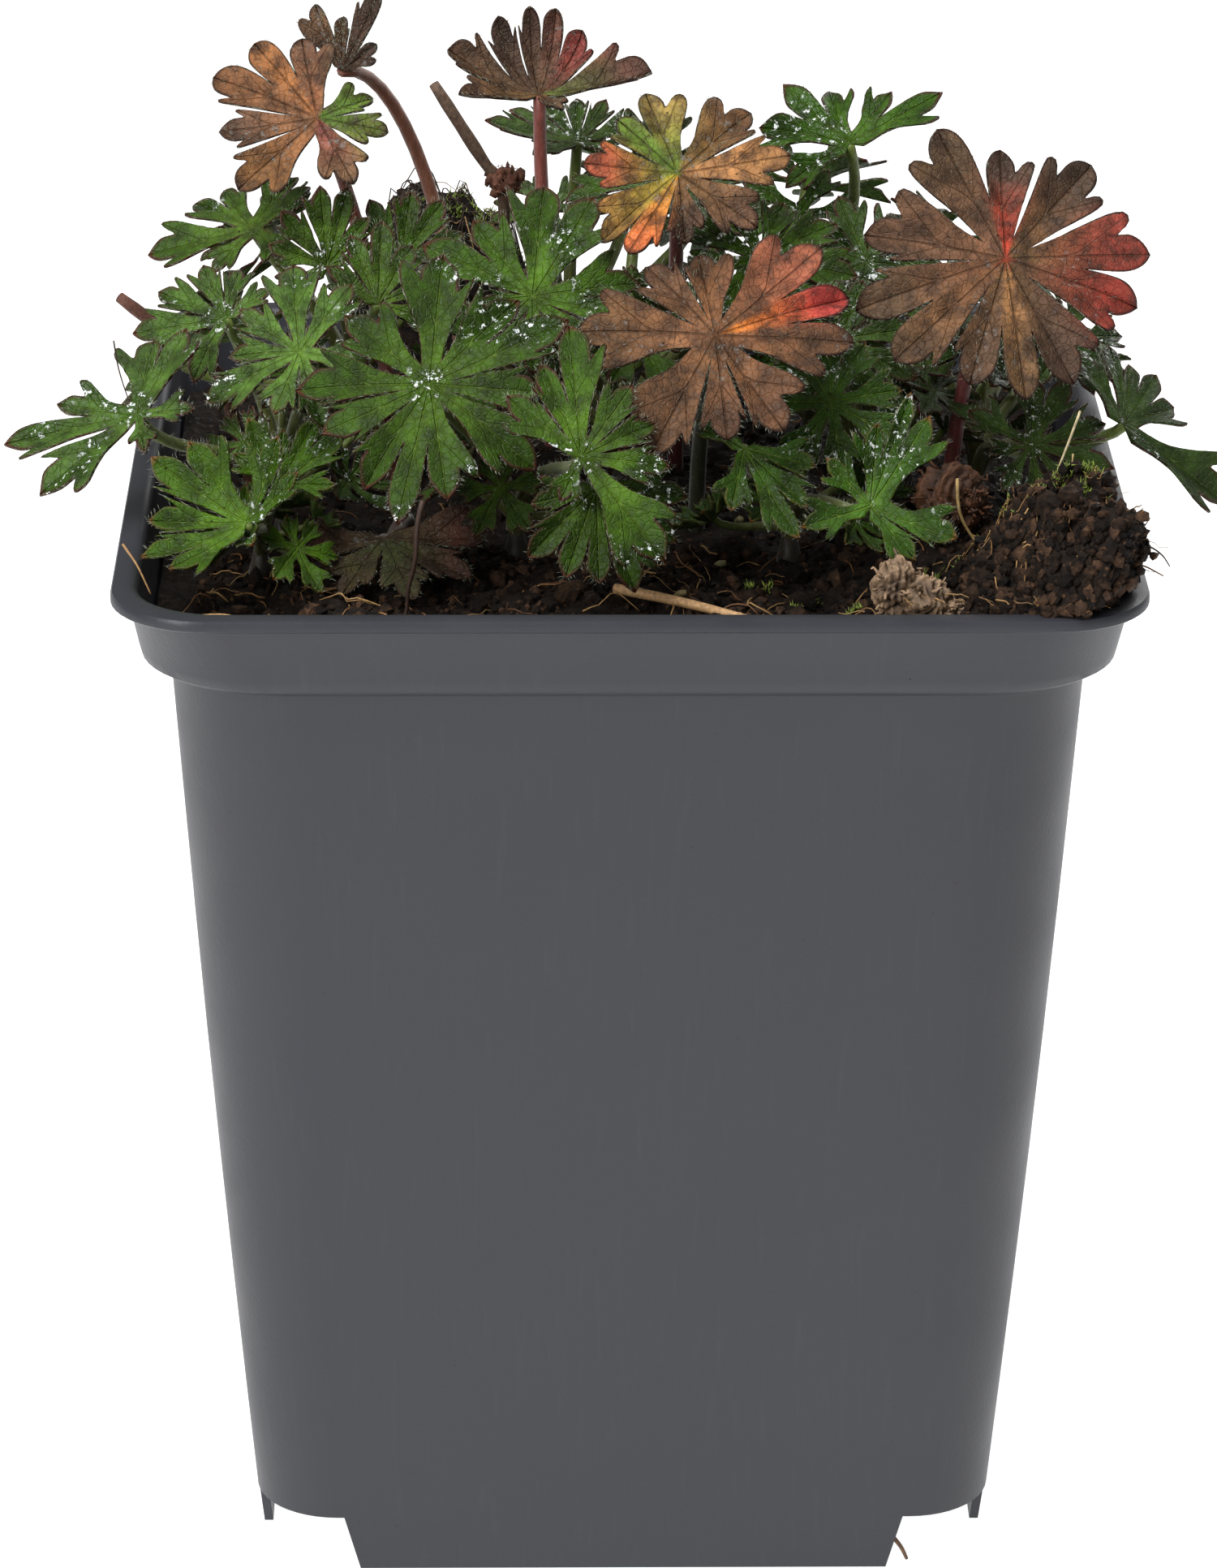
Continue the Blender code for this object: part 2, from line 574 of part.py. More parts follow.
def cut_point(leaf, clock, length, curl, gap):
    """The foot of the cut between two lobes: shallow between the fingers of a division, and deep elsewhere."""
    if gap >= DIVISION_GAP:
        return lobe_point(leaf, clock, length, curl, DEEP_CUT, 0)
    raised = math.sin(math.radians(gap / 2)) * math.sin(math.radians(FOLD))
    return lobe_point(leaf, clock, length, curl, SHALLOW_CUT, 0) + SHALLOW_CUT * length * raised * leaf[1]


def outward_open(mesh, normal):
    """Turn every face of an open sheet to the given side."""
    work = bmesh.new()
    work.from_mesh(mesh)
    bmesh.ops.recalc_face_normals(work, faces=work.faces)
    if sum(f.normal.dot(normal) * f.calc_area() for f in work.faces) < 0:
        bmesh.ops.reverse_faces(work, faces=work.faces)
    work.to_mesh(mesh)
    work.free()


def stalk_points(foot, leaf_row):
    """A stalk that leaves its foot upright and meets the blade from behind, as a cubic Bezier."""
    at, side, lean = leaf_row[:3]
    top = np.array(at, float)
    start = np.array(foot, float)
    normal = leaf_axes(side, lean)[0]
    reach = np.linalg.norm(top - start)
    first = start + np.array([0, 0, 0.45 * reach])
    second = top - 0.4 * reach * normal
    points = []
    for k in range(STALK_STEPS + 1):
        t = k / STALK_STEPS
        points.append((1 - t) ** 3 * start + 3 * t * (1 - t) ** 2 * first + 3 * t * t * (1 - t) * second
                      + t ** 3 * top)
    return points


def tube(name, points, radius, group, resolution=0, tip_scale=1.0):
    """A round stem along points, as a closed mesh."""
    curve = bpy.data.curves.new(name, "CURVE")
    curve.dimensions = "3D"
    curve.bevel_depth = radius * MM
    curve.bevel_resolution = resolution
    curve.use_fill_caps = True
    spline = curve.splines.new("POLY")
    spline.points.add(len(points) - 1)
    for k, p in enumerate(points):
        spline.points[k].co = (*(MM * c for c in p), 1.0)
        spline.points[k].radius = 1 + (tip_scale - 1) * k / (len(points) - 1)
    guide = bpy.data.objects.new(name, curve)
    group.objects.link(guide)
    shape = guide.evaluated_get(bpy.context.evaluated_depsgraph_get())
    mesh = bpy.data.meshes.new_from_object(shape)
    place = guide.matrix_world.copy()
    bpy.data.objects.remove(guide, do_unlink=True)
    work = bmesh.new()
    work.from_mesh(mesh)
    bmesh.ops.remove_doubles(work, verts=work.verts, dist=1e-6)
    bmesh.ops.recalc_face_normals(work, faces=work.faces)
    work.to_mesh(mesh)
    work.free()
    obj = bpy.data.objects.new(name, mesh)
    obj.matrix_world = place
    group.objects.link(obj)
    return obj


def seat(obj, peat):
    """Lower a loose piece until it lies a hair above the peat."""
    down = Vector((0, 0, -1))
    clearances = []
    for vertex in obj.data.vertices:
        above = Vector((vertex.co.x, vertex.co.y, 2 * POT_HEIGHT * MM))
        clearances.append(vertex.co.z - peat.ray_cast(above, down)[1].z)
    drop = min(clearances) - PEAT_GAP * MM
    for vertex in obj.data.vertices:
        vertex.co.z -= drop


def make_shoot(name, at, colour, leaves, group):
    """A leafy shoot: a short foot in the peat, its stalks and their blades, fused."""
    ground = peat_height(*at)
    low, top = ground - ROOT_DEPTH, ground + SHOOT_RISE
    foot = cylinder(name, at, low, top, SHOOT_RADIUS, 0.8 * SHOOT_RADIUS, HOLE_SIDES, group)
    parts = collection(name + "_parts")
    for k, row in enumerate(leaves):
        blade(f"{name}_blade_{k}", row, parts)
        start = (*at, ground + SHOOT_RISE - 1)
        tube(f"{name}_stalk_{k}", stalk_points(start, row), STALK_RADIUS, parts)
    boolean(foot, parts, "UNION", "MANIFOLD")
    finish(foot, colour)
    return foot


def make_lone_leaf(name, at, colour, row, group):
    """A leaf on its own stalk, which stands in the peat."""
    ground = peat_height(*at)
    leaf = blade(name, row, group)
    parts = collection(name + "_parts")
    root = (*at, ground - ROOT_DEPTH)
    tube(f"{name}_stalk", [root] + stalk_points((*at, ground + 0.5), row), AUTUMN_STALK_RADIUS, parts, 1)
    boolean(leaf, parts, "UNION", "MANIFOLD")
    finish(leaf, colour)
    return leaf


def main():
    clear_scene()
    group = collection(COLLECTION)
    make_pot(group)
    holes = [(*at, SHOOT_RADIUS) for at, _, _ in SHOOTS.values()]
    holes += [(*at, AUTUMN_STALK_RADIUS + 0.1) for at, _, _ in LONE_LEAVES.values()]
    holes += [(*points[0][:2], radius + 0.1) for radius, points in OLD_STEMS.values()]
    peat = make_peat(group, holes)
    for name, (at, colour, leaves) in SHOOTS.items():
        make_shoot(name, at, colour, leaves, group)
    for name, (at, colour, row) in LONE_LEAVES.items():
        make_lone_leaf(name, at, colour, row, group)
    for name, (radius, points) in OLD_STEMS.items():
        ground = peat_height(*points[0][:2])
        points = [(*points[0][:2], ground - ROOT_DEPTH)] + points[1:]
        stem = tube(name, points, radius, group, 1, 0.85)
        if name == KNOB[0]:
            knobs = collection(name + "_parts")
            knob(KNOB[1], KNOB[2], knobs)
            boolean(stem, knobs, "UNION", "MANIFOLD")
        finish(stem, WOOD, 0.8)
    straw = tube("straw", list(STRAW_ENDS), STRAW_RADIUS, group, 1, 0.8)
    seat(straw, peat)
    finish(straw, STRAW, 0.7)
    for name, row in CURLED.items():
        withered = blade(name, row, group)
        seat(withered, peat)
        finish(withered, DRY, 0.8)


main()
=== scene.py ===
"""A hardy geranium in its square nursery pot: divided hairy leaves, peat with roots and moss, moulded pot.

Lengths are millimetres and angles degrees until a mesh is made, which is in metres. +Z is up, -Y the front.
"""

import math

import bmesh
import bpy
import numpy as np
from mathutils import Matrix, Vector


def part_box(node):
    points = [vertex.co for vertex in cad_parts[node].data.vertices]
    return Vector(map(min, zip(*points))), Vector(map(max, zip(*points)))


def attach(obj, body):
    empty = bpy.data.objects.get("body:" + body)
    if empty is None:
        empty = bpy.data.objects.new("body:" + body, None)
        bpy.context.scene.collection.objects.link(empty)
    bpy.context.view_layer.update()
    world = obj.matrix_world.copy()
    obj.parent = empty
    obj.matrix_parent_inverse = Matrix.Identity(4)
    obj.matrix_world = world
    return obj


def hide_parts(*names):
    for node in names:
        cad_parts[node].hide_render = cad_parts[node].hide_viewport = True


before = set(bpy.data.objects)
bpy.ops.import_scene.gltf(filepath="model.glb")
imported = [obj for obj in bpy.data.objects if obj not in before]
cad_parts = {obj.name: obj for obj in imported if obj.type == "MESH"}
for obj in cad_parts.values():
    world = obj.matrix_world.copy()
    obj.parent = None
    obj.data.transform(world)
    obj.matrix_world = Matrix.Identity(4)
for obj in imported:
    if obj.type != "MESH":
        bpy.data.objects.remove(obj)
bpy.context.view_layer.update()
MM = 0.001

# Pot: half-widths, corner radii and heights, and the heights of the rings up its walls
POT_HEIGHT = 120.0
RIM_HALF = 55.0
RIM_CORNER = 10.4
LIP = 1.2
COLLAR_TOP_HALF = 53.1
COLLAR_FOOT_HALF = 52.4
COLLAR_FOOT = 110.0
BODY_TOP_HALF = 49.36
BODY_TOP_CORNER = 14.2
BODY_FOOT_HALF = 41.14
BODY_FOOT_CORNER = 9.1
WALL = 1.0
BELLY = 0.35
FLOOR_UNDER = 6.3
FLOOR_TOP = 8.2
FLOOR_ROUND = 1.5
FOOT_HALF_LENGTH = 29.8
FOOT_SLANT = 1.8
CUTOUT_TOP = 6.8
DRAIN_RADIUS = 4.0
DRAIN_OFFSET = 24.0
DRAIN_SIDES = 32
INNER_STEPS = (30, 55, 80, 100)
OUTER_STEPS = (95, 80, 65, 50, 35, 20)
SHARP_EDGE = 40.0

# Peat: level, waves, the rise under the crown, the two clods, and the front one's side over the rim as shares
# of its height and of its overhang
PEAT_LEVEL = 112.6
PEAT_GAP = 0.3
WAVES = ((0.6, 0.31, 1.1, 0.27, -0.4), (0.35, 0.63, 0.0, 0.5, 0.0))
CROWN_AT = (-4.0, 8.0)
CROWN_REACH = (30.0, 26.0)
CROWN_RISE = 3.5
CLOD_AT = (48.0, -39.0)
CLOD_REACH = (12.0, 12.0)
CLOD_RISE = 15.5
CLOD_LUMPS = (1.1, 0.9, 0.4, 0.8)
BACK_CLOD_AT = (-20.5, 40.0)
BACK_CLOD_REACH = (11.0, 6.5)
BACK_CLOD_RISE = 25.0
CLOD_FLAT = 1.3
BACK_CLOD_FLAT = 1.6
SIDE_RISE_AT = (36.0, -18.0)
SIDE_RISE_REACH = (8.0, 7.0)
SIDE_RISE = 5.5
CLOD_SIDE = ((0.02, 0.8), (0.14, 1.2), (0.3, 1.4), (0.48, 1.4), (0.66, 1.5), (0.84, 1.5), (0.97, 1.3))
LEDGE = 2.9
LEDGE_FROM = 90.5
LEDGE_FADE = 2.5

# Leaf blades and stalks
BLADE = 0.28
FOLD = 26.0
FOLD_FROM = 0.2
FULL_GAP = 30.0
STALK_RADIUS = 0.75
AUTUMN_STALK_RADIUS = 0.85
SHOOT_RADIUS = 2.0
SHOOT_RISE = 2.5
KNOB_SHAPE = (1.15, 1.0, 0.85)

# Leaves of each shoot: where the shoot stands, the kind of its blades, then a leaf a row.
# A leaf is its stalk's top (x, y, z), the side it faces (0 is the front, 90 the right), how far it leans
# that way from lying flat, how far its lobes curl up, and its lobes as (clock angle, length), with 0 toward
# the front and 90 to the right. A lobe may have a curl of its own. One number is the size of an even leaf.
SHOOTS = {
    "shoot_front": ((-12, -17), "green", [
        ((-21.3, -28, 137), 0, 50, 0, [(-130, 12), (-90, 14.5), (-62, 13), (-32, 13.5), (-12, 16.5),
            (8, 13.5), (52, 14.5), (85, 12), (115, 16.5), (137, 14), (175, 15.5)]),
        ((-5.1, -36, 131.5), 0, 55, 0, [(-175, 15), (-158, 11.5), (-130, 10.5), (-25, 5.5), (38, 14.5),
            (85, 9.5), (118, 9), (145, 9.5)]),
        ((-3.5, -33, 127.0), 10, 60, 0, [(-70, 7.5), (-40, 10.5), (-15, 10.5), (5, 10.5), (25, 12),
            (60, 10.5), (90, 10)]),
    ]),
    "shoot_left": ((-38, -8), "green", [
        ((-35.4, -22, 138.6), -10, 45, 0, [(-175, 12), (-130, 8.5), (-95, 8), (-68, 11.5), (-20, 8),
            (15, 9), (75, 8), (145, 10)]),
        ((-53, -22, 131.5), -25, 35, 0, [(-105, 9.5), (-85, 15.3), (-50, 14), (10, 5), (85, 6.5), (155, 12),
            (175, 11)]),
        ((-44, -8, 138), -20, 40, 0, [(-120, 9), (-85, 10.5), (-30, 8), (120, 6), (170, 7), (-160, 8)]),
    ]),
    "shoot_front_left": ((-40, -22), "young", [
        ((-41, -33, 123), -25, 45, 15, [(-150, 11.5), (-130, 13), (-100, 11), (-72, 12), (-55, 10),
            (120, 8), (150, 10)]),
        ((-37.5, -29, 126.0), 10, 45, 15, [(-150, 8), (-120, 6), (90, 6), (130, 9), (155, 8.5), (180, 6)]),
    ]),
    "shoot_back_left": ((-30, 14), "green", [
        ((-41.7, 10, 142.8), -30, 40, 0, [(-150, 8), (-130, 10), (-85, 12.5), (-40, 7), (40, 7), (120, 8),
            (145, 8.5)]),
        ((-33, 0, 141.5), 0, 70, 10, [(-175, 9), (-140, 8), (-110, 7), (-60, 7), (60, 7), (110, 7),
            (140, 7), (165, 9)]),
        ((-27.3, -6, 139), 15, 50, 0, [(180, 10.5), (155, 9), (-155, 8.5), (120, 8), (80, 7), (-120, 7)]),
        ((-45, 24, 131), -125, 40, 0, 11),
        ((-41, 33, 136), -140, 40, 0, 11),
        ((-51, 9, 128), -85, 45, 0, 10.5),
    ]),
    "shoot_middle": ((0, 0), "green", [
        ((-10.2, -12, 141.7), 0, 45, 0, [(-145, 11.5), (-120, 14), (-85, 6), (-45, 9), (0, 9), (45, 9),
            (75, 10), (100, 12), (150, 13.5), (175, 14.5)]),
        ((15, -3, 143.3), 0, 45, 0, [(-120, 9.5), (-80, 9), (-40, 9), (0, 9.5), (40, 10), (80, 11),
            (120, 10), (160, 8), (-160, 8)]),
        ((2, 14, 147), 20, 15, 0, 10.5),
        ((-15.5, -1, 132), -10, 35, 0, 11),
        ((-25.0, 2.5, 141.0), 10, 60, 5, [(-150, 8), (120, 8), (150, 9), (175, 8.5)]),
        ((12, 14, 134.5), 10, 20, 0, 10.5),
    ]),
    "shoot_middle_right": ((26, -4), "green", [
        ((27, 2, 141.3), 10, 40, 0, [(-160, 9), (-110, 9), (-60, 9), (-10, 9), (40, 10), (90, 10), (150, 9)]),
        ((23.5, -12.5, 137), 0, 50, 0, [(-120, 8), (-60, 9), (-15, 9), (25, 9), (60, 9.5), (100, 9),
            (160, 8)]),
        ((30, 0, 130), 20, 45, 0, 8.5),
    ]),
    "shoot_back": ((-6, 24), "green", [
        ((-5, 24, 149), 10, 20, 10, [(-90, 11), (-120, 9), (-150, 8), (180, 7), (150, 7), (110, 8), (60, 6),
            (-50, 7)]),
        ((-8, 35, 138), 0, 15, 0, 9),
        ((10, 30, 141), 30, 20, 0, 11),
        ((9, 49, 133), 175, 65, 0, 10),
        ((2, 41, 141), 175, 40, 0, 12),
    ]),
    "shoot_back_right": ((22, 20), "green", [
        ((25.3, 10, 152.7), -20, 40, 0, [(-165, 8.5), (-140, 11), (-115, 11.5), (-65, 8.5), (115, 12),
            (140, 8)]),
        ((20, 15, 143), 15, 50, 0, [(-120, 8), (-70, 9), (-30, 10), (0, 10), (30, 11), (60, 9), (100, 8),
            (150, 7)]),
        ((22, 38, 140), 165, 40, 0, 12),
        ((38, 30, 136), 135, 45, 0, 12),
        ((24, 45, 128), 170, 60, 0, 10.5),
    ]),
    "shoot_front_right": ((18, -18), "young", [
        ((25.8, -36, 126), 0, 50, 15, [(-135, 7), (-70, 8), (35, 8), (62, 10.5), (145, 11.5), (160, 13),
            (175, 9)]),
        ((12.4, -29.5, 130.2), 10, 50, 0, [(-120, 6), (-10, 7.5), (30, 12), (48, 9.5), (80, 8)]),
        ((22, -22, 133), 0, 60, 0, [(-150, 9), (180, 9), (150, 8), (-90, 8), (-30, 8), (10, 8), (60, 9),
            (100, 8)]),
    ]),
    "shoot_right": ((40, 2), "green", [
        ((55.8, -5, 124.5), 40, 45, 0, [(-180, 12.5), (-150, 11), (65, 15), (125, 9), (150, 10), (170, 9.5)]),
        ((44.5, -16, 126), 0, 45, 0, [(-120, 8), (-80, 5), (-30, 7), (5, 7.5), (40, 8), (75, 9.5), (110, 9),
            (150, 9), (175, 8)]),
        ((50, 6, 131), 30, 40, 0, [(-120, 8), (-80, 7), (-30, 8), (20, 8), (60, 9), (110, 8), (160, 8)]),
        ((51, 20, 130), 95, 45, 0, 11),
        ((36, 10, 137), 60, 30, 0, 10.5),
    ]),
}

# Leaves on a stalk of their own: where the stalk enters the peat, then the leaf as above
LONE_LEAVES = {
    "autumn_leaf_top_left": ((-26, 6), ((-34, 5, 157), -10, 55, 0, [
        (-170, 10.5), (-145, 12.5), (-120, 14), (-85, 11), (-50, 12), (25, 9), (75, 8), (110, 6.5)])),
    "autumn_leaf_folded": ((-18, 22), ((-31.5, 14, 160), -20, 80, 0, [
        (-175, 8), (165, 6), (135, 10), (110, 5)])),
    "autumn_leaf_top_middle": ((-8, 12), ((-9.4, 15, 157), 0, 15, 0, [
        (-110, 11.5, 25), (-140, 10, 45), (-170, 10, 52), (165, 10, 52), (140, 9, 40), (100, 13, 8),
        (30, 5, 10), (-75, 9.5, 5)])),
    "autumn_leaf_upper_right": ((6, 6), ((5.7, -8, 154.5), 0, 50, 0, [
        (-160, 10.5), (-135, 9.5), (-95, 10.5), (-50, 11), (-30, 11), (5, 8), (55, 10.5), (100, 12.5),
        (135, 11.5)])),
    "autumn_leaf_front": ((8, -10), ((9.4, -25, 141.5), 0, 50, 0, [
        (-170, 10), (-140, 11.5), (-95, 15), (-28, 15.5), (5, 12.5), (32, 13.5), (88, 15), (110, 15.5),
        (130, 15)])),
    "autumn_leaf_right": ((36, -10), ((41.2, -15, 147), 5, 58, 0, [
        (-175, 12), (-150, 16), (-100, 15.5), (-70, 17), (-45, 17), (-15, 15), (8, 16), (30, 15.5),
        (75, 15.5), (95, 16), (140, 14.5)])),
    "low_purple_leaf": ((-24, -12), ((-26.5, -24, 118.0), 0, 25, 0, [
        (-80, 9), (-30, 9), (20, 10), (60, 11), (90, 11)])),
}

# Old woody stems: radius, points from the peat upward, and colour; the swollen joint of one, with its place,
# radius and shape; the straw's two ends
OLD_STEMS = {
    "old_stem_middle": (0.8, [(-13, 26, 108), (-13, 26, 118), (-13.4, 24.5, 136), (-13.4, 24, 144),
                              (-15.4, 24, 146), (-21.4, 24, 155.7)], "#6a5444"),
    "old_stem_left": (0.8, [(-42, 2, 107), (-42, 2, 116), (-45, -3, 130), (-55.8, -6, 139.8)], "#603c2e"),
}
KNOB = ("old_stem_middle", (-13.2, 24.0, 144.2), 2.3)
STRAW_ENDS = ((-1.3, -28.5), (13.2, -38.5))
STRAW_RADIUS = 0.6

# Withered leaves on the peat: lumps as (offset from the middle of the foot, half-sizes), the near-black
# colour painted in their creases as painted shade, and the colour of their ribs
CURLED = {
    "withered_leaf_tan": ((((-2.2, 0, 0), (2.8, 2.8, 3.9)), ((0.9, -0.6, 0), (3.4, 2.8, 2.7)),
                           ((4.0, -0.9, 0), (2.4, 1.7, 1.5))), "#20140e", "#a88a6c"),
    "withered_leaf_brown": ((((0, 0, 0), (4.2, 3.8, 4.4)), ((-1.2, -1.6, 0.2), (3.0, 2.4, 2.8)),
                             ((2.0, -0.6, 0.3), (2.4, 2.4, 3.4))), "#120804", "#6a4226"),
}

# Loose roots and dead fibres: points, radius and colour
LOOSE_FIBRES = (
    (((48.3, -31, 135), (46.6, -31.5, 130), (45.0, -32, 126), (44.6, -32, 122)), 0.14, "#cdbd94"),
    (((47.6, -32, 130.5), (47.4, -32.4, 127), (46.7, -32, 122)), 0.11, "#b8a070"),
    (((35.1, -34, 128.4), (35.2, -34.2, 125), (36.1, -34, 122.8), (38.0, -34.5, 120.3), (39.5, -35, 118)),
     0.2, "#b89a62"),
    (((-53.6, -44, 124.6), (-52.0, -45.5, 122.8), (-50.6, -46.5, 119.9)), 0.15, "#a07a4c"),
    (((-47, -41.5, 115.5), (-43, -42.5, 116.2), (-39, -43.5, 115.2)), 0.16, "#b08a58"),
    (((-55.6, -20, 139.3), (-55.2, -20, 136), (-54.0, -20, 132), (-53.2, -20.6, 130.8)), 0.1, "#3a2c20"),
    (((-22, -39.6, 127.9), (-22.9, -40.2, 124.6), (-22.5, -40.4, 121.5), (-23.9, -40.2, 118.0),
      (-23.5, -40, 115.6), (-24.6, -40, 113.2)), 0.33, "#3a261c"),
    (((12.4, -6.5, 112.6), (12.9, -6.9, 114.0), (13.0, -7.6, 114.4)), 0.7, "#a09a6a"),
    (((9.7, -19.7, 112.4), (10.2, -20, 113.6), (10.9, -20.4, 113.8)), 0.6, "#8a845a"),
    (((5.0, -28.7, 112.2), (5.6, -29, 113.4), (6.4, -29.1, 113.6)), 0.6, "#9a8a5c"),
    (((28.3, -40.2, 5.9), (30.0, -40.4, 4.2), (31.6, -40.3, 2.2), (32.3, -40, 0.4)), 0.35, "#6a4a2c"),
    (((29.6, -40.4, 4.4), (30.0, -40.8, 2.4), (29.4, -40.9, 0.6)), 0.22, "#7a5430"),
    (((51.5, -45, 124.0), (54.4, -45, 125.0), (56.2, -45.2, 123.8), (57.0, -45, 122.4)), 0.13, "#3c2a1c"),
    (((51.2, -44, 122.0), (54.2, -44.4, 122.4), (56.4, -44.6, 121.2)), 0.13, "#7a5430"),
    (((50.6, -46, 125.0), (53.6, -46, 126.6), (54.6, -46, 128.2)), 0.11, "#6a4a2c"),
    (((51.0, -47, 121.5), (53.4, -47.6, 123.0), (54.0, -48.0, 125.2)), 0.12, "#8a6238"),
)

# The photograph's camera: degrees, millimetres and a lens for a 36 mm frame
CAMERA_AZIMUTH = -0.966
CAMERA_HEIGHT = 22.1
CAMERA_ROLL = 0.308
CAMERA_DISTANCE = 705.5
CAMERA_AIM_UP = 79.37
CAMERA_AIM_ACROSS = -1.467
CAMERA_LENS = 36 * 7560 / 1932

TOWARD_FRONT = np.array([0.0, -0.8, -0.6])

# How a blade is drawn: steps along a lobe, places across each half, and where its teeth and notches lie.
# Two lobes closer than DIVISION_GAP are fingers of one division, and the cut between them is shallow.
LOBE_STEPS = 24
ACROSS = np.array([0.0, 0.16, 0.38, 0.62, 0.84, 1.0])
LOW_LEAF_STEPS = 9
DIVISION_GAP = 27.0
OPEN_GAP = 42.0
DEEP_CUT = 0.20
SHALLOW_CUT = 0.55
SIDE_VEIN = 11 / 24
HAIR_RADIUS = 0.022

# Colours of each autumn leaf: its stalk, then the inner and outer colour of each lobe, in order round it
AUTUMN_LOOKS = {
    "autumn_leaf_top_left": ("#7a3a30", [
        ("#7e4e30", "#5c4030"), ("#9a6236", "#8a5a34"), ("#845634", "#6e4a30"), ("#785032", "#5c4232"),
        ("#8c5c38", "#74502e"), ("#7c3c34", "#6e5038"), ("#46641c", "#566424"), ("#466a1c", "#4c6420")]),
    "autumn_leaf_folded": ("#84503a", [
        ("#4c382a", "#6e5038"), ("#523c2c", "#40302a"), ("#4a382c", "#3c2c26"), ("#4c382c", "#64482e")]),
    "autumn_leaf_top_middle": ("#86443a", [
        ("#4e3826", "#46342c"), ("#4e3826", "#44342c"), ("#523c28", "#4c3626"), ("#5e4628", "#503826"),
        ("#5e4028", "#54402e"), ("#58662e", "#54382e"), ("#563a2a", "#7e3632"), ("#4e3826", "#603c32")]),
    "autumn_leaf_upper_right": ("#6a2c2a", [
        ("#5a701e", "#7e6a34"), ("#52701e", "#4e6420"), ("#646e1e", "#9c4a30"), ("#9c8a2a", "#8a6a34"),
        ("#b88430", "#bc6030"), ("#644628", "#443024"), ("#70502e", "#5c4230"), ("#a67446", "#94683e"),
        ("#74582a", "#64462c")]),
    # The front leaf's stalk is its olive green darkened nearly to black: painted shade
    "autumn_leaf_front": ("#2c2e14", [
        ("#70482a", "#543822"), ("#6a462a", "#543a28"), ("#764e32", "#64462c"), ("#6a462a", "#563c28"),
        ("#644226", "#503422"), ("#6e482a", "#5a3c28"), ("#744a2c", "#583c28"), ("#d0782c", "#a43a36"),
        ("#7a5030", "#884c36")]),
    "autumn_leaf_right": ("#6e2824", [
        ("#c8442e", "#4c3a30"), ("#74503a", "#54402c"), ("#7c543a", "#6a4c38"), ("#845638", "#5c4632"),
        ("#8a5c3c", "#64482e"), ("#6e4e30", "#5a4230"), ("#9a6c40", "#745638"), ("#64482e", "#503c30"),
        ("#6a4c34", "#963a30"), ("#6a5030", "#9c4034"), ("#74502e", "#4c3a2e")]),
    "low_purple_leaf": ("#4c3426", [
        ("#44361e", "#3c2618"), ("#38401c", "#302c16"), ("#34421a", "#2e3418"), ("#384420", "#40281e"),
        ("#403820", "#46261e")]),
}

# Greens of each shoot: inner and outer colour of its blades
GREEN_LOOKS = {
    "shoot_front": ("#3c580a", "#2a4406"),
    "shoot_left": ("#466420", "#3c561e"),
    "shoot_front_left": ("#44660e", "#2e4a04"),
    "shoot_back_left": ("#466018", "#324c0e"),
    "shoot_middle": ("#40600e", "#2c4608"),
    "shoot_middle_right": ("#364e18", "#2c4214"),
    "shoot_back": ("#486028", "#3c5222"),
    "shoot_back_right": ("#426610", "#30520a"),
    "shoot_front_right": ("#325210", "#223e08"),
    "shoot_right": ("#344a1a", "#263a10"),
}

# How slim each shoot's lobes are: 1 where nothing is said, 0 for the broad ones of an autumn leaf
SLIM = {"shoot_right": 1.8, "shoot_back_right": 1.6, "shoot_front_left": 1.5, "shoot_front_right": 1.4,
        "shoot_middle_right": 1.2}

# Skins of the upper and the under side of each kind of blade: name, colours of down, veins, margin and tips,
# shares of down and veins, width of the margin, colour and share of blotches, and share of the water film,
# which also carries the painted glints
BLADE_SKINS = {
    "green": (("green_downy_blade", "#7c8e50", "#6c8430", "#42201e", "#5c241e", 0.13, 0.30, 0.46,
               "#18280a", 0.50, 1.0),
              ("green_blade_underside", "#98a67a", "#8c9c58", "#4c3028", "#641c26", 0.36, 0.5, 0.2,
               "#465a28", 0.3, 0.0)),
    "young": (("young_downy_blade", "#869c54", "#7a9834", "#4c4e1c", "#84482a", 0.11, 0.32, 0.24,
               "#264008", 0.35, 0.8),
              ("young_blade_underside", "#a4b682", "#98aa5c", "#5a5e2c", "#84582a", 0.36, 0.5, 0.2,
               "#52702a", 0.3, 0.0)),
    "autumn": (("autumn_downy_blade", "#a4876c", "#3a261a", "#2a1810", "#301a12", 0.14, 0.45, 0.34,
                "#33221a", 0.62, 0.12),
               ("autumn_blade_underside", "#94785e", "#6c4c38", "#2c1c16", "#2c1814", 0.30, 0.5, 0.2,
                "#4c3628", 0.5, 0.0)),
}

# Other colours
STALK_GREEN = "#66782c"
STALK_FOOT = "#565024"
SHOOT_FOOT = "#2c2418"
HAIR = "#dfe3d6"
PEAT_DARK = "#19120d"
CRUMB = "#21160e"
ROOT_TAN = "#c09a60"
ROOT_ORANGE = "#7c4a24"
CLOD_ROOT = "#a8804e"
MOSS_GREEN = "#7e9034"
DEBRIS = "#3b2c24"
SOIL_SPECK = "#1c1410"
# Painted highlight: the near-white colour laid on drops of the blades' water film as glints
PAINTED_WATER_GLINT = "#f0f6f2"
SOAKED = (0.62, 0.66, 0.60, 1.0)
WHITE = (1.0, 1.0, 1.0, 1.0)
KNOB_FLAKE = "#6a4230"
KNOB_CORE = "#6a4232"
KNOB_HAIR = "#a5705a"
# Painted shade: the darker colour of the straw's back side
STRAW_PAINTED_SHADE = "#7a5a3a"
STRAW_PALE = "#c0986a"

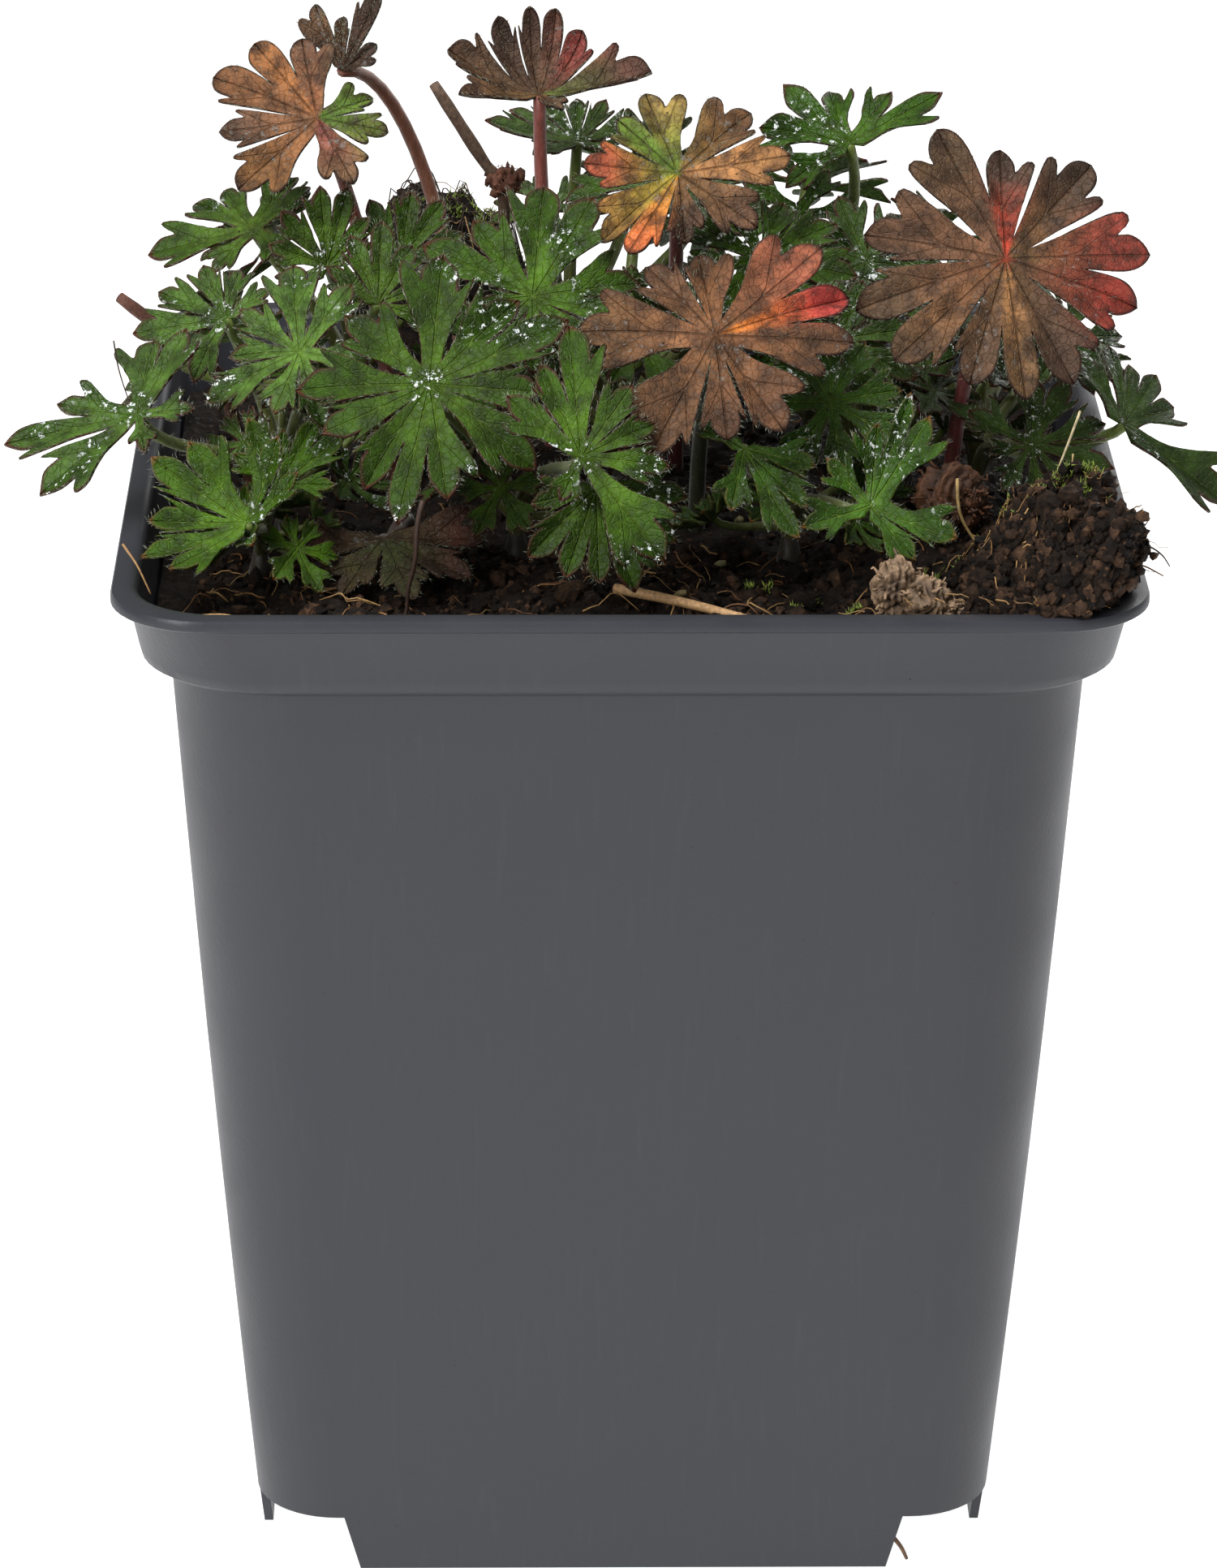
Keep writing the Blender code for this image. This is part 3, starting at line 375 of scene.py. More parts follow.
# Small young leaves round a shoot: how many in the crown and in front of it, then their ranges and the reach
# to which they are held
INSIDE_FROM = -12.0
LOW_LEAVES_INSIDE = 7
LOW_LEAVES_OUTSIDE = 5
LOW_LEAF_OUT = (6.0, 11.0)
LOW_LEAF_LIMIT = 42.0
LOW_LEAF_RISE_INSIDE = (4.5, 21.0)
LOW_LEAF_RISE_OUTSIDE = (4.5, 10.5)
LOW_LEAF_LEAN = (25, 60)
LOW_LEAF_CURL = (5, 30)
LOW_LEAF_SIZE = (4.8, 7.2)
LOW_LEAF_DOWN = 0.35
LOW_STALK_SHARE = 0.7
LOW_STALK_DOWN = 0.3

# Hairs: how many on a blade and on each millimetre of rim and stalk, and the ranges of their lengths
BLADE_HAIRS = 260
RIM_HAIR_STEP = 0.5
STALK_HAIRS_PER_MM = 9
BLADE_HAIR_LENGTH = (0.35, 0.7)
RIM_HAIR_LENGTH = (0.4, 0.95)
STALK_HAIR_LENGTH = (0.5, 1.1)

# Seeds of the random draws
PLANT_SEED = 5
PEAT_SEED = 11

# Relief of the peat as noise: height, cell and seed; the lumps and the ragged side of the clods likewise
RELIEF = ((1.0, 2.6, 3), (0.7, 1.3, 4), (0.5, 0.7, 5))
BACK_LUMPS = (1.2, 4.5, 6)
RAGGED = ((1.3, 8), (3.1, 9))
ROUGHNESS = 0.55
CLOD_ROUGHNESS = 0.75
BACK_CLOD_ROUGHNESS = 1.3

# Where small things lie: half-width of the peat, its front strip, the shares that go there and to the clod's
# top, and that top's x and y as middle, lowest and highest; then sizes and limits of crumbs and roots
PEAT_HALF = 47
FRONT_STRIP = -15
FRONT_SHARE = 0.5
CLOD_SHARE = 0.24
CLOD_SPREAD = 5.5
CLOD_TOP = ((44, 25, 51), (-40, -50, -20))
CRUMB_SIZE = (-0.85, 0.5)
CRUMB_LIMITS = (0.2, 1.5)
FLANK_CRUMB_SIZE = (0.3, 1.0)
BRINK = ((37, 51), (-50.5, -43))
CLOD_ROOT_BOX = ((-57, -57, 121), (57.4, 57, 140))
ROOT_LENGTH = (3, 11)
ROOT_RADIUS = (0.05, 0.15)
ROOT_LIMIT = 48.5
FRONT_RIGHT_LIMIT = 50.5
DEBRIS_AT = (-22, 40)
DEBRIS_SPREAD = (5.5, 2.6)

# How many of each small thing there are
CRUMBS = 4200
BRINK_CRUMBS = 500
FLANK_CRUMBS = 1600
FLANK_ROOTS = 70
ROOTS = 260
DEBRIS_CURLS = 90
KNOB_FLAKES = 70
KNOB_HAIRS = 140
TORN_EDGES = 26

# Patches of moss: middle, spread and number of spikes, of which so many make a tuft
MOSS = (((44, -34), (5, 4), 1100), ((-16, 39), (6, 3), 560), ((20, -32), (5, 3), 120))
TUFT = 18

# Studio: the floor's half-width, depth and glow, the sky's light, and lamps as name, place, watts and width
FLOOR_HALF = 3000.0
FLOOR_UNDER_POT = 0.05
FLOOR_GLOW = 0.97
SKY_LIGHT = 0.22
LAMPS_AIM = (0, 0, 110)
LAMPS = (
    ("overhead_softbox", (-150, -160, 620), 3.0, 320),
    ("front_softbox", (-420, -560, 420), 2.4, 260),
    ("back_softbox", (260, 420, 380), 1.0, 300),
)

UPWARD = np.array([0.0, 0.0, 1.0])


def linear(code):
    """An sRGB hex colour as linear light, by the standard's two-part curve."""
    values = np.array([int(code[k:k + 2], 16) / 255 for k in (1, 3, 5)])
    return np.where(values <= 0.04045, values / 12.92, ((values + 0.055) / 1.055) ** 2.4)


def rgba(code):
    """The same with full opacity, for a shader socket."""
    return (*linear(code), 1.0)


def pile():
    """An empty heap of triangles, with a colour and a leaf coordinate for each point."""
    return {"points": [], "corners": [], "slots": [], "tints": [], "leaf": [], "count": 0}


def heap(into, points, corners, slot, tint, leaf=(9.0, 9.0, 0.5)):
    """Put triangles on the heap: slot is a material's number, for all of them or for each."""
    count = len(points)
    into["points"].append(points)
    into["corners"].append(corners + into["count"])
    into["slots"].append(np.broadcast_to(slot, len(corners)))
    into["tints"].append(np.broadcast_to(tint, (count, 3)))
    into["leaf"].append(np.broadcast_to(leaf, (count, 3)))
    into["count"] += count


def mesh_from(name, points, corners):
    """A mesh of triangles from whole arrays, in millimetres."""
    mesh = bpy.data.meshes.new(name)
    mesh.vertices.add(len(points))
    mesh.vertices.foreach_set("co", (points * MM).astype(np.float32).ravel())
    mesh.loops.add(3 * len(corners))
    mesh.loops.foreach_set("vertex_index", corners.astype(np.int32).ravel())
    mesh.polygons.add(len(corners))
    mesh.polygons.foreach_set("loop_start", np.arange(0, 3 * len(corners), 3, dtype=np.int32))
    mesh.polygons.foreach_set("use_smooth", np.ones(len(corners), bool))
    mesh.update(calc_edges=True)
    return mesh


def put(name, data):
    """A new object in the scene."""
    obj = bpy.data.objects.new(name, data)
    bpy.context.scene.collection.objects.link(obj)
    return obj


def make_piece(name, heaped, materials, nodes):
    """Turn a heap into a piece that rides on the part and stands for the named nodes."""
    points, corners, slots, tints, leaf = (np.concatenate(heaped[key]) for key in
                                           ("points", "corners", "slots", "tints", "leaf"))
    mesh = mesh_from(name, points, corners)
    mesh.polygons.foreach_set("material_index", slots.astype(np.int32))
    opaque = np.column_stack([tints, np.ones(len(tints))])
    for key, kind, field, values in (("tint", "FLOAT_COLOR", "color", opaque),
                                     ("leaf", "FLOAT_VECTOR", "vector", leaf)):
        layer = mesh.attributes.new(key, kind, "POINT")
        layer.data.foreach_set(field, values.astype(np.float32).ravel())
    for material in materials:
        mesh.materials.append(material)
    piece = put(name, mesh)
    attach(piece, "root")
    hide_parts(*nodes)
    return piece


def grid_corners(rows, columns, closed=False):
    """Two triangles for each cell of a grid of points; closed joins the last column to the first."""
    r, c = np.meshgrid(np.arange(rows - 1), np.arange(columns if closed else columns - 1), indexing="ij")
    a = r * columns + c
    b = r * columns + (c + 1) % columns
    halves = [np.stack([a, b, b + columns], -1), np.stack([a, b + columns, a + columns], -1)]
    return np.concatenate([half.reshape(-1, 3) for half in halves])


def unit(v):
    """Vectors at length one."""
    return v / np.maximum(np.linalg.norm(v, axis=-1, keepdims=True), 1e-9)


def capped(rings, low, high):
    """Skin a stack of rings of equal count, and close each end with a fan of triangles to a point."""
    rows, count = rings.shape[:2]
    points = np.concatenate([rings.reshape(-1, 3), [low], [high]])
    k = np.arange(count)
    beside = (k + 1) % count
    last = (rows - 1) * count
    start = np.stack([np.full(count, len(points) - 2), beside, k], -1)
    end = np.stack([np.full(count, len(points) - 1), last + k, last + beside], -1)
    return points, np.concatenate([grid_corners(rows, count, True), start, end])


def along_path(path, spots):
    """Places on a path, each given as the number of a point and the share of the way to the next."""
    return np.stack([np.interp(spots, np.arange(len(path)), path[:, k]) for k in range(3)], -1)


def bent_path(points, count, rounds):
    """A path at even steps through points, each inner step then averaged with its two neighbours."""
    path = np.array(points, float)
    path = along_path(path, np.linspace(0, len(path) - 1, count))
    for _ in range(rounds):
        path[1:-1] = (path[:-2] + 2 * path[1:-1] + path[2:]) / 4
    return path


def tube(path, radii, sides, side=None):
    """A round stem: circles square to the path, all turned from one side direction, closed at each end."""
    path = np.asarray(path, float)
    radii = np.broadcast_to(radii, len(path))[:, None, None]
    along = unit(np.gradient(path, axis=0))
    if side is None:
        side = np.cross(along[0], along[-1])
        if np.linalg.norm(side) < 0.2:
            side = np.eye(3)[np.argmin(np.abs(along[0] + along[-1]))]
    first = unit(side - along * (along @ side)[:, None])
    second = np.cross(along, first)
    turn = np.linspace(0, 2 * np.pi, sides, endpoint=False)[None, :, None]
    rings = path[:, None] + radii * (np.cos(turn) * first[:, None] + np.sin(turn) * second[:, None])
    return capped(rings, path[0], path[-1])


def spikes(base, toward, length, radius):
    """Hairs as slim three-sided pyramids, each closed beneath."""
    toward = unit(toward)
    helper = np.where(np.abs(toward[:, 2:]) < 0.8, [[0.0, 0.0, 1.0]], [[1.0, 0.0, 0.0]])
    first = unit(np.cross(toward, helper))
    second = np.cross(toward, first)
    turn = np.arange(3) * 2 * np.pi / 3
    wide = np.broadcast_to(radius, len(base))[:, None, None]
    foot = base[:, None] + wide * (np.cos(turn)[None, :, None] * first[:, None]
                                   + np.sin(turn)[None, :, None] * second[:, None])
    tip = base + toward * np.broadcast_to(length, len(base))[:, None]
    points = np.concatenate([foot, tip[:, None]], axis=1).reshape(-1, 3)
    one = np.array([[0, 1, 3], [1, 2, 3], [2, 0, 3], [0, 2, 1]])
    return points, (one[None] + 4 * np.arange(len(base))[:, None, None]).reshape(-1, 3)


def weld(points, corners, *values):
    """Join points that coincide, and drop the triangles that this flattens."""
    _, first, back = np.unique(np.round(points, 4), axis=0, return_index=True, return_inverse=True)
    corners = back.reshape(-1)[corners]
    a, b, c = corners.T
    corners = corners[(a != b) & (b != c) & (a != c)]
    return points[first], corners, [value[first] for value in values]


def thicken(points, corners, thickness):
    """Give an open sheet two faces, half the thickness to each side of it, and a band along its edge."""
    a, b, c = (points[corners[:, k]] for k in range(3))
    face = np.cross(b - a, c - a)
    normals = np.zeros_like(points)
    for k in range(3):
        np.add.at(normals, corners[:, k], face)
    normals = unit(normals)
    count = len(points)
    edges = corners[:, [0, 1, 1, 2, 2, 0]].reshape(-1, 2)
    lone = ~np.isin(edges[:, 1] * count + edges[:, 0], edges[:, 0] * count + edges[:, 1])
    a, b = edges[lone].T
    band = np.concatenate([np.stack([b, a, a + count], -1), np.stack([b, a + count, b + count], -1)])
    both = np.concatenate([points + normals * thickness / 2, points - normals * thickness / 2])
    slots = np.repeat([0, 1, 0], [len(corners), len(corners), len(band)])
    return both, np.concatenate([corners, corners[:, ::-1] + count, band]), slots, normals


def leaf_axes(side, lean):
    """The blade's normal, its direction toward the front, and its direction to the right."""
    a, t = math.radians(side), math.radians(lean)
    normal = np.array([math.sin(t) * math.sin(a), -math.sin(t) * math.cos(a), math.cos(t)])
    front = TOWARD_FRONT - normal * (TOWARD_FRONT @ normal)
    front /= np.linalg.norm(front)
    return normal, front, np.cross(normal, front)


def fan(size, count=5, open_gap=80):
    """Lobes of an even leaf: the longest opposite the stalk's gap."""
    step = (360 - open_gap) / (count - 1)
    clocks = -180 + open_gap / 2 + step * np.arange(count)
    return [(clock, size * (0.8 + 0.2 * math.cos(math.radians(clock)))) for clock in clocks]


def half_edge(gap, reach, rng, steps, slim):
    """One side of a lobe's outline: how far along and across the lobe it lies, in shares of its length.

    It is first drawn as rows (along, across, foot on the midrib). A wedge that widens outward from the deep
    cut between two divisions ends in a blunt side lobe, a notch and the blunt middle lobe. A finger of a
    division starts from a shallow cut and has no side lobe. A slim one is narrower below and more pointed.
    Each corner is then cut twice, which rounds it, and the two values are read off at even steps of the foot.
    """
    turn = math.radians(min(gap, OPEN_GAP))
    jitter = rng.uniform(-1, 1, 4)
    if 2 * gap < DIVISION_GAP:
        cut = SHALLOW_CUT * reach
        wide = min(0.17, 1.10 * cut * math.sin(turn) + 0.02 + 0.015 * jitter[0])
        rows = [(cut * math.cos(turn), cut * math.sin(turn), 0.0),
                (0.55 + 0.4 * cut, wide, 0.45),
                (0.88 - 0.03 * slim, 0.92 * wide, 0.70),
                (0.97 - 0.03 * slim, 0.50 * wide, 0.88),
                (1.0, 0.0, 1.0)]
    else:
        cut = DEEP_CUT * reach
        room = min(1.0, math.tan(turn) / math.tan(math.radians(FULL_GAP)))
        far = 0.83 + 0.05 * jitter[1]
        side = (0.20 + 0.13 * room) * (1 + 0.1 * jitter[2])
        notch = 0.105 + 0.025 * room
        rows = [(cut * math.cos(turn), cut * math.sin(turn), 0.0),
                (0.38, (0.10 + 0.05 * room) * (1 - 0.28 * slim), 0.12),
                (0.58, (0.17 + 0.12 * room) * (1 - 0.22 * slim), 0.26),
                (far - 0.12, (1.04 - 0.06 * slim) * side, 0.35),
                (far - 0.01 + 0.03 * slim, (1 - 0.04 * slim) * side, 0.43),
                (far + 0.02 - 0.03 * slim, (0.72 + 0.02 * slim) * side, 0.52),
                (far - 0.10 - 0.03 * slim, notch, 0.61),
                (0.86 - 0.02 * slim, notch + 0.015, 0.72),
                (0.96 - 0.035 * slim, 0.08 + 0.02 * jitter[3], 0.88),
                (1.0, 0.0, 1.0)]
    rows = np.array(rows)
    limit = rows[:, 0] * math.tan(0.90 * turn)
    rows[1:-1, 1] = np.minimum(rows[1:-1, 1], np.maximum(limit[1:-1], 0.05))
    for _ in range(2):
        near, far = 0.75 * rows[:-1] + 0.25 * rows[1:], 0.25 * rows[:-1] + 0.75 * rows[1:]
        rows = np.concatenate([rows[:1], np.stack([near, far], 1).reshape(-1, 3), rows[-1:]])
    foot = np.linspace(0, 1, steps + 1)
    return np.interp(foot, rows[:, 2], rows[:, 0]), np.interp(foot, rows[:, 2], rows[:, 1])


def round_leaf(theta, clocks, values):
    """A value that changes evenly from each lobe to the next, round the leaf."""
    return np.interp(theta, clocks, values, period=360)


def add_blade(into, row, colours, rng, crumple=0.0, hairy=1.0, steps=LOBE_STEPS, slim=1.0):
    """A divided blade: each half-lobe is a ruled grid from its midrib to its outline, on one curved surface.

    A point at distance rho and clock angle theta from the stalk's top goes out by rho, tipped up by the
    leaf's curl, which grows outward. It is raised by its distance from the midrib times the fold, and by slow
    waves. Colours are one pair, inner and outer, or a pair for each lobe.
    """
    at, side, lean, curl, lobes = row
    lobes = sorted(lobes if isinstance(lobes, list) else fan(lobes))
    pairs = colours if isinstance(colours, list) else [colours] * len(lobes)
    centre = np.array(at, float)
    normal, front, right = leaf_axes(side, lean)
    clocks = np.array([lobe[0] for lobe in lobes], float)
    lengths = np.array([lobe[1] for lobe in lobes], float)
    curls = np.array([curl + (lobe[2] if len(lobe) > 2 else 0) for lobe in lobes], float)
    heave = rng.uniform(-0.20, 0.10, len(lobes)) * lengths
    size = lengths.mean()
    phase = rng.uniform(0, 2 * np.pi, 4)
    inner, outer = (np.array([linear(pair[k]) for pair in pairs]) for k in (0, 1))

    def settle(rho, theta, offset):
        """Places on the curved surface, for distances, clock angles and angles from the midrib."""
        turn = np.radians(theta)
        share = rho / round_leaf(theta, clocks, lengths)
        past = np.maximum(0, share - FOLD_FROM)
        bend = np.radians(round_leaf(theta, clocks, curls)) * (past / (1 - FOLD_FROM)) ** 0.8
        fold = math.sin(math.radians(FOLD)) * np.minimum(1, past / 0.3)
        wave = 0.02 * size * share ** 2 * (np.sin(2 * turn + phase[0]) + np.sin(5 * turn + phase[1]))
        wave = wave + crumple * size * share * (np.sin(9 * turn + 4 * share + phase[2])
                                                + 0.6 * np.sin(17 * turn - 9 * share + phase[3]))
        wave = wave + round_leaf(theta, clocks, heave) * share ** 2
        out = np.cos(turn)[..., None] * front + np.sin(turn)[..., None] * right
        tipped, level = np.cos(bend)[..., None], np.sin(bend)[..., None]
        rise = (rho * np.abs(np.sin(np.radians(offset))) * fold + wave)[..., None]
        ahead, above = tipped * out + level * normal, tipped * normal - level * out
        return centre + rho[..., None] * ahead + rise * above

    sheet, faces, leaf, tints = [], [], [], []
    rims, rays = [], []
    count = 0
    foot = np.linspace(0, 1, steps + 1)
    for k in range(len(lobes)):
        for sign in (-1, 1):
            other = (k + sign) % len(lobes)
            gap = (sign * (clocks[other] - clocks[k])) % 360 / 2
            along, across = half_edge(gap, min(lengths[k], lengths[other]) / lengths[k], rng, steps, slim)
            a = foot[:, None] * (1 - ACROSS) + along[:, None] * ACROSS
            b = across[:, None] * ACROSS
            rho = lengths[k] * np.hypot(a, b)
            offset = sign * np.degrees(np.arctan2(b, a))
            points = settle(rho, clocks[k] + offset, offset)
            cells = grid_corners(steps + 1, len(ACROSS))
            faces.append((cells if sign < 0 else cells[:, ::-1]) + count)
            ray = lengths[k] * np.hypot(along - foot, across)[:, None]
            toothed = 2 * gap >= DIVISION_GAP
            branch = np.abs(foot - SIDE_VEIN)[:, None] * lengths[k] * (0.8 if toothed else 9) + 0 * b
            vein = np.minimum(b * lengths[k], branch + 0.06)
            share = rho / lengths[k]
            leaf.append(np.stack([vein, (1 - ACROSS) * ray, share], -1).reshape(-1, 3))
            blend = np.clip((share - 0.15) / 0.6, 0, 1)[..., None]
            mine, next_one = (inner[j] * (1 - blend) + outer[j] * blend for j in (k, other))
            strange = 0.5 * np.minimum(1, np.abs(offset) / gap)[..., None] ** 4
            tints.append((mine * (1 - strange) + next_one * strange).reshape(-1, 3))
            sheet.append(points.reshape(-1, 3))
            rims.append(points[:, -1])
            rays.append(points[:, -1] - points[:, -3])
            count += points.shape[0] * points.shape[1]
    tint = np.concatenate(tints) * (1 + rng.uniform(-0.22, 0.16))
    sheet, faces, leaf = (np.concatenate(parts) for parts in (sheet, faces, leaf))
    points, corners, (leaf, tint) = weld(sheet, faces, leaf, tint)
    both, corners, slots, normals = thicken(points, corners, BLADE)
    heap(into, both, corners, slots, np.concatenate([tint, tint]), np.concatenate([leaf, leaf]))
    add_margin_hairs(into, rims, rays, normal, hairy, rng)
    picked = rng.choice(len(points), int(BLADE_HAIRS * hairy), replace=len(points) < BLADE_HAIRS)
    lean_out = unit(points[picked] - centre) * 0.9 + normals[picked] * 0.55
    lean_out = lean_out + rng.normal(0, 0.2, (len(picked), 3))
    skin = points[picked] + normals[picked] * 0.1
    hair, faces = spikes(skin, lean_out, rng.uniform(*BLADE_HAIR_LENGTH, len(picked)), HAIR_RADIUS * 0.8)
    heap(into, hair, faces, 3, linear(HAIR))


def add_low_leaves(into, at, foot, colours, rng):
    """Small young leaves round a shoot's foot, turned outward, on stalks: longer in the crown's middle."""
    inside = at[1] > INSIDE_FROM
    count = LOW_LEAVES_INSIDE if inside else LOW_LEAVES_OUTSIDE
    rise = LOW_LEAF_RISE_INSIDE if inside else LOW_LEAF_RISE_OUTSIDE
    for turn in np.linspace(0, 360, count + 1)[:-1] + rng.uniform(0, 72):
        out = rng.uniform(*LOW_LEAF_OUT)
        way = math.radians(turn)
        spot = np.array([at[0] + out * math.sin(way), at[1] - out * math.cos(way)])
        spot = np.clip(spot, -LOW_LEAF_LIMIT, LOW_LEAF_LIMIT)
        top = (*spot, max(foot, peat_height(*spot)) + rng.uniform(*rise))
        lobes = fan(rng.uniform(*LOW_LEAF_SIZE), 6, 60)
        row = (top, turn, rng.uniform(*LOW_LEAF_LEAN), rng.uniform(*LOW_LEAF_CURL), lobes)
        add_blade(into, row, colours, rng, 0.0, LOW_LEAF_DOWN, LOW_LEAF_STEPS)
        path = stalk_path((*at, foot + SHOOT_RISE - 1), row, 8)
        add_stalk(into, path, LOW_STALK_SHARE * STALK_RADIUS, STALK_FOOT, STALK_GREEN, rng, LOW_STALK_DOWN)


def add_margin_hairs(into, rims, rays, normal, hairy, rng):
    """A fringe of fine hairs along the outline, leaning outward."""
    rims, rays = np.stack(rims), np.stack(rays)
    steps = np.linalg.norm(np.diff(rims, axis=1), axis=2)
    count = int(steps.sum() / RIM_HAIR_STEP * hairy)
    chance = steps.ravel() / steps.sum()
    cell = rng.choice(steps.size, count, p=chance)
    lobe, step = np.divmod(cell, steps.shape[1])
    t = rng.random(count)[:, None]
    base = rims[lobe, step] * (1 - t) + rims[lobe, step + 1] * t
    toward = unit(rays[lobe, step]) + normal * rng.uniform(-0.1, 0.5, count)[:, None]
    toward = toward + rng.normal(0, 0.22, (count, 3))
    hair, faces = spikes(base, toward, rng.uniform(*RIM_HAIR_LENGTH, count), HAIR_RADIUS)
    heap(into, hair, faces, 3, linear(HAIR))


def stalk_path(foot, row, steps=14):
    """A stalk that leaves its foot upright and meets the blade from behind, as a cubic Bezier."""
    at, side, lean = row[:3]
    top, start = np.array(at, float), np.array(foot, float)
    reach = np.linalg.norm(top - start)
    first = start + np.array([0, 0, 0.45 * reach])
    second = top - 0.4 * reach * leaf_axes(side, lean)[0]
    t = np.linspace(0, 1, steps + 1)[:, None]
    return (1 - t) ** 3 * start + 3 * t * (1 - t) ** 2 * first + 3 * t * t * (1 - t) * second + t ** 3 * top


def add_stalk(into, path, radius, low, high, rng, hairy=1.0):
    """A hairy round stalk, a little thicker at its foot, its colour changing from low to high along it."""
    share = np.linspace(0, 1, len(path))
    sides = 8
    points, corners = tube(path, radius * (1.12 - 0.28 * share), sides)
    mix = np.concatenate([np.repeat(share, sides), [0.0, 1.0]])[:, None]
    heap(into, points, corners, 2, linear(low) * (1 - mix) + linear(high) * mix)
    length = np.linalg.norm(np.diff(path, axis=0), axis=1).sum()
    count = int(STALK_HAIRS_PER_MM * length * hairy)
    base = along_path(path, rng.uniform(0.05, 0.98, count) * (len(path) - 1))
    toward = unit(rng.normal(0, 1, (count, 3)))
    reach = radius + rng.uniform(*STALK_HAIR_LENGTH, count)
    hair, faces = spikes(base, toward, reach, HAIR_RADIUS)
    heap(into, hair, faces, 3, linear(HAIR))


def rounded_square(half, corner, per_corner, per_side):
    """Points round a square with round corners, anticlockwise, as an array."""
    straight = half - corner
    turn = np.linspace(0, np.pi / 2, per_corner)
    arc = np.stack([straight + corner * np.cos(turn), straight + corner * np.sin(turn)], -1)
    run = np.linspace(0, 1, per_side + 2)[1:-1, None]
    side = arc[-1] - np.array([2 * straight, 0]) * run
    quarter = np.concatenate([arc, side])
    x, y = quarter.T
    return np.concatenate([quarter, np.stack([-y, x], -1), np.stack([-x, -y], -1), np.stack([y, -x], -1)])


def body_half(z):
    """Half-width of the pot's outer wall at a height, with its slight belly."""
    share = z / COLLAR_FOOT
    return BODY_FOOT_HALF + (BODY_TOP_HALF - BODY_FOOT_HALF) * share + BELLY * math.sin(math.pi * share)


def body_corner(z):
    """Radius of the pot's corners at a height."""
    return BODY_FOOT_CORNER + (BODY_TOP_CORNER - BODY_FOOT_CORNER) * z / COLLAR_FOOT


def loft(rings):
    """Close a stack of rings of equal count into one solid, with a flat fan at each end."""
    return capped(np.stack(rings), rings[0].mean(0), rings[-1].mean(0))


def ring_at(half, corner, z, per_corner=13, per_side=9):
    """A rounded square as a ring of points at one height."""
    flat = rounded_square(half, corner, per_corner, per_side)
    return np.column_stack([flat, np.full(len(flat), float(z))])


def noise(x, y, cell, seed):
    """Smooth value noise from -1 to 1: random heights on a square lattice, blended by a cubic step."""
    heights = np.random.default_rng(seed).uniform(-1, 1, (64, 64))
    u, v = x / cell, y / cell
    i, j = np.floor(u).astype(int), np.floor(v).astype(int)
    p, q = (w * w * (3 - 2 * w) for w in (u - i, v - j))
    near = heights[i % 64, j % 64] * (1 - p) + heights[(i + 1) % 64, j % 64] * p
    far = heights[i % 64, (j + 1) % 64] * (1 - p) + heights[(i + 1) % 64, (j + 1) % 64] * p
    return near * (1 - q) + far * q


def bump(x, y, at, reach):
    """A smooth hill of height 1 with an elliptic foot."""
    return np.exp(-((x - at[0]) / reach[0]) ** 2 - ((y - at[1]) / reach[1]) ** 2)


def clod_weight(x, y):
    """How much a place belongs to the front clod, from 0 to 1."""
    return np.minimum(1.0, 2.0 * bump(x, y, CLOD_AT, CLOD_REACH))


def peat_height(x, y):
    """Level peat with low waves, a rise under the crown, and a clod at two places."""
    level = PEAT_LEVEL + CROWN_RISE * bump(x, y, CROWN_AT, CROWN_REACH)
    for height, along_x, from_x, along_y, from_y in WAVES:
        level = level + height * np.sin(along_x * x + from_x) * np.cos(along_y * y + from_y)
    for rise, flat, at, reach in ((BACK_CLOD_RISE, BACK_CLOD_FLAT, BACK_CLOD_AT, BACK_CLOD_REACH),
                                  (CLOD_RISE, CLOD_FLAT, CLOD_AT, CLOD_REACH)):
        level = level + rise * np.minimum(1.0, flat * bump(x, y, at, reach))
    level = level + SIDE_RISE * bump(x, y, SIDE_RISE_AT, SIDE_RISE_REACH)
    lump, along_x, from_x, along_y = CLOD_LUMPS
    return level + lump * clod_weight(x, y) * np.sin(along_x * x + from_x) * np.cos(along_y * y)


